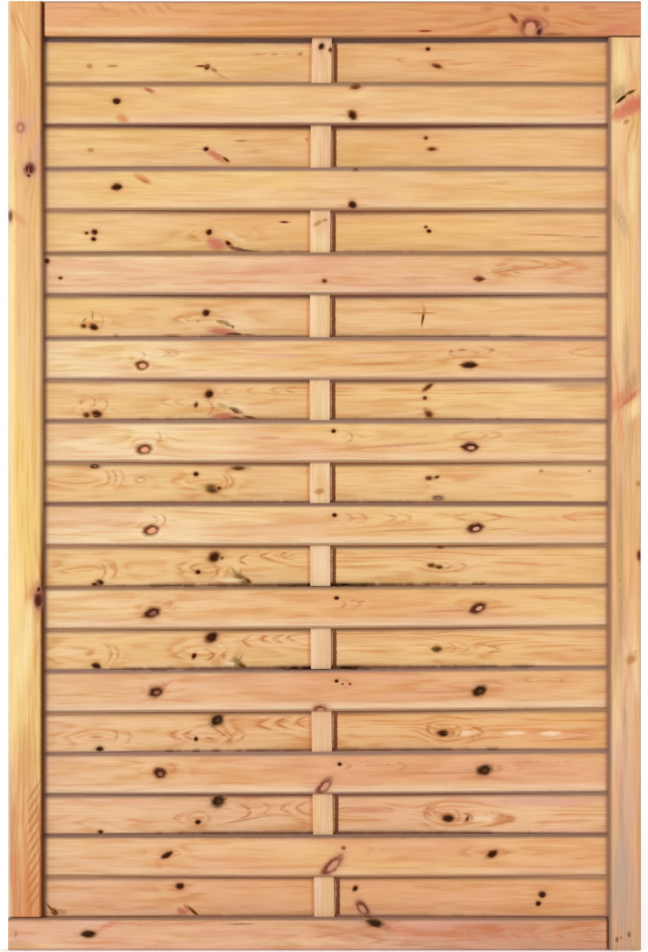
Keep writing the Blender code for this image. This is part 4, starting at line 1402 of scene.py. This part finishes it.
for number in range(1, SLAT_COUNT + 1):
    upper, lower = (FRONT_UPPER, FRONT_LOWER) if in_front(number) else (REAR_UPPER, REAR_LOWER)
    if number == 1:
        upper = FIRST_UPPER
    # Painted shade along the slat ends, and grime with painted shade along the joint lines.
    edges = [
        Edge(slat_end, END_REACH, END_SHADE, END_SHARE),
        Edge(slat_edge(number, 1), dirt=JOINT_LINES[number - 1], **upper),
        Edge(slat_edge(number, -1), dirt=JOINT_LINES[number], **lower),
    ]
    # Painted shade in the gaps that open beside the batten.
    if number in GAP_SHADE_LINES:
        edges.append(Edge(slat_edge(number, -1), GAP_SHADE_HEIGHT, GAP_SHADE, gap_shade_share(*GAP_SHADE_LINES[number])))
    if number in GAP_SHADE_SPILLS:
        spilt = gap_shade_share(*GAP_SHADE_LINES[number - 1])
        edges.append(Edge(slat_edge(number, 1), GAP_SHADE_SPILLS[number], GAP_SHADE, spilt))
    left, right = (PANEL_LEFT + (x - cad_low.x) / metres_per_pixel for x in batten_edges(slat_middle(number)))
    facing = 1 if in_front(number) else -1
    # Painted shade beside the batten: a faint line on its left and its painted shadow on its right.
    bands = [
        Band(left - LEFT_SHADE_OFF, side=facing, **LEFT_SHADE_BAND),
        Band(right + SHADE_OFF, side=facing, **SHADE_BAND),
    ]
    grain = FRONT_GRAIN if in_front(number) else REAR_GRAIN
    if number <= LAST_SMOOTH_SLAT:
        grain = grain._replace(late=SMOOTH_LATE)
    if number <= LAST_GOLDEN_SLAT:
        grain = grain._replace(gold=FULL_GOLD)
    finish = pine(
        "slat_%02d_pine" % number, FIRST_SLAT_SEED + number - 1, SLAT_TONES[number], grain,
        slat_place(number), (-inner_width / 2, inner_width / 2), SLAT_KNOTS[number],
        SLAT_STAINS.get(number, ()), SLAT_FIGURES.get(number, ()), SLAT_ARCS.get(number, ()), bands, edges,
        PALE_MARGINS.get(number, 0.0),
    )
    slat(number, finish)

# Floor and light
# A pale floor and a white surround, a soft key from the upper left of the front, and a weak one
# from behind on the right. The world gives the rest, so that a colour renders about as written.
WORLD_LIGHT = 0.52
KEY_LIGHT, KEY_AZIMUTH, KEY_ELEVATION = 1.45, -24, 18
BACK_LIGHT, BACK_AZIMUTH, BACK_ELEVATION = 1.0, 150, 35
LAMP_SOFTNESS = 30
FLOOR_SIZE = 40.0
FLOOR_DROP = 0.0005
FLOOR_ALBEDO, FLOOR_ROUGHNESS = 0.86, 0.9
FLOOR_LIFT = 0.34

floor_bm = bmesh.new()
bmesh.ops.create_grid(floor_bm, x_segments=1, y_segments=1, size=FLOOR_SIZE / 2)
bmesh.ops.translate(floor_bm, vec=(middle_x, 0, cad_low.z - FLOOR_DROP), verts=floor_bm.verts)
floor = object_of("floor", floor_bm)
floor_material = bpy.data.materials.new("floor")
floor_material.use_nodes = True
floor_tree = floor_material.node_tree
floor_shader = floor_tree.nodes["Principled BSDF"]
floor_shader.inputs["Base Color"].default_value = (FLOOR_ALBEDO, FLOOR_ALBEDO, FLOOR_ALBEDO, 1)
floor_shader.inputs["Roughness"].default_value = FLOOR_ROUGHNESS
floor_shader.inputs["Specular IOR Level"].default_value = 0.0
lift = node(floor_tree, "ShaderNodeEmission")
lift_rays = Level(floor_tree, node(floor_tree, "ShaderNodeLightPath").outputs["Is Camera Ray"])
feed(lift.inputs["Strength"], lift_rays * FLOOR_LIFT)
both = node(floor_tree, "ShaderNodeAddShader")
feed(both.inputs[0], floor_shader.outputs["BSDF"])
feed(both.inputs[1], lift.outputs["Emission"])
feed(floor_tree.nodes["Material Output"].inputs["Surface"], both.outputs["Shader"])
floor.data.materials.append(floor_material)
floor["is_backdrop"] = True

world = bpy.data.worlds.new("surround")
world.use_nodes = True
bpy.context.scene.world = world
world_tree = world.node_tree
background = world_tree.nodes["Background"]
background.inputs["Color"].default_value = (1, 1, 1, 1)
ray_sockets = node(world_tree, "ShaderNodeLightPath").outputs
rays = [Level(world_tree, ray_sockets["Is %s Ray" % kind]) for kind in ("Camera", "Glossy", "Transmission")]
seen = highest(highest(rays[0], rays[1]), rays[2])
feed(background.inputs["Strength"], plus_share(WORLD_LIGHT, seen, 1.0 - WORLD_LIGHT))


def soft_sun(name, energy, azimuth, elevation):
    """A far soft lamp. Azimuth 0 shines from the front, and a negative one from the left."""
    lamp = bpy.data.objects.new(name, bpy.data.lights.new(name, "SUN"))
    lamp.data.energy = energy
    lamp.data.angle = math.radians(LAMP_SOFTNESS)
    a, e = math.radians(azimuth), math.radians(elevation)
    source = Vector((math.sin(a) * math.cos(e), -math.cos(a) * math.cos(e), math.sin(e)))
    lamp.rotation_euler = source.to_track_quat("Z", "Y").to_euler()
    bpy.context.scene.collection.objects.link(lamp)


soft_sun("key", KEY_LIGHT, KEY_AZIMUTH, KEY_ELEVATION)
soft_sun("back", BACK_LIGHT, BACK_AZIMUTH, BACK_ELEVATION)
bpy.context.scene.view_settings.view_transform = "Standard"

shown_low, shown_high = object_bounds()
corners = {"cad": [list(cad_low), list(cad_high)], "visual": [list(shown_low), list(shown_high)]}
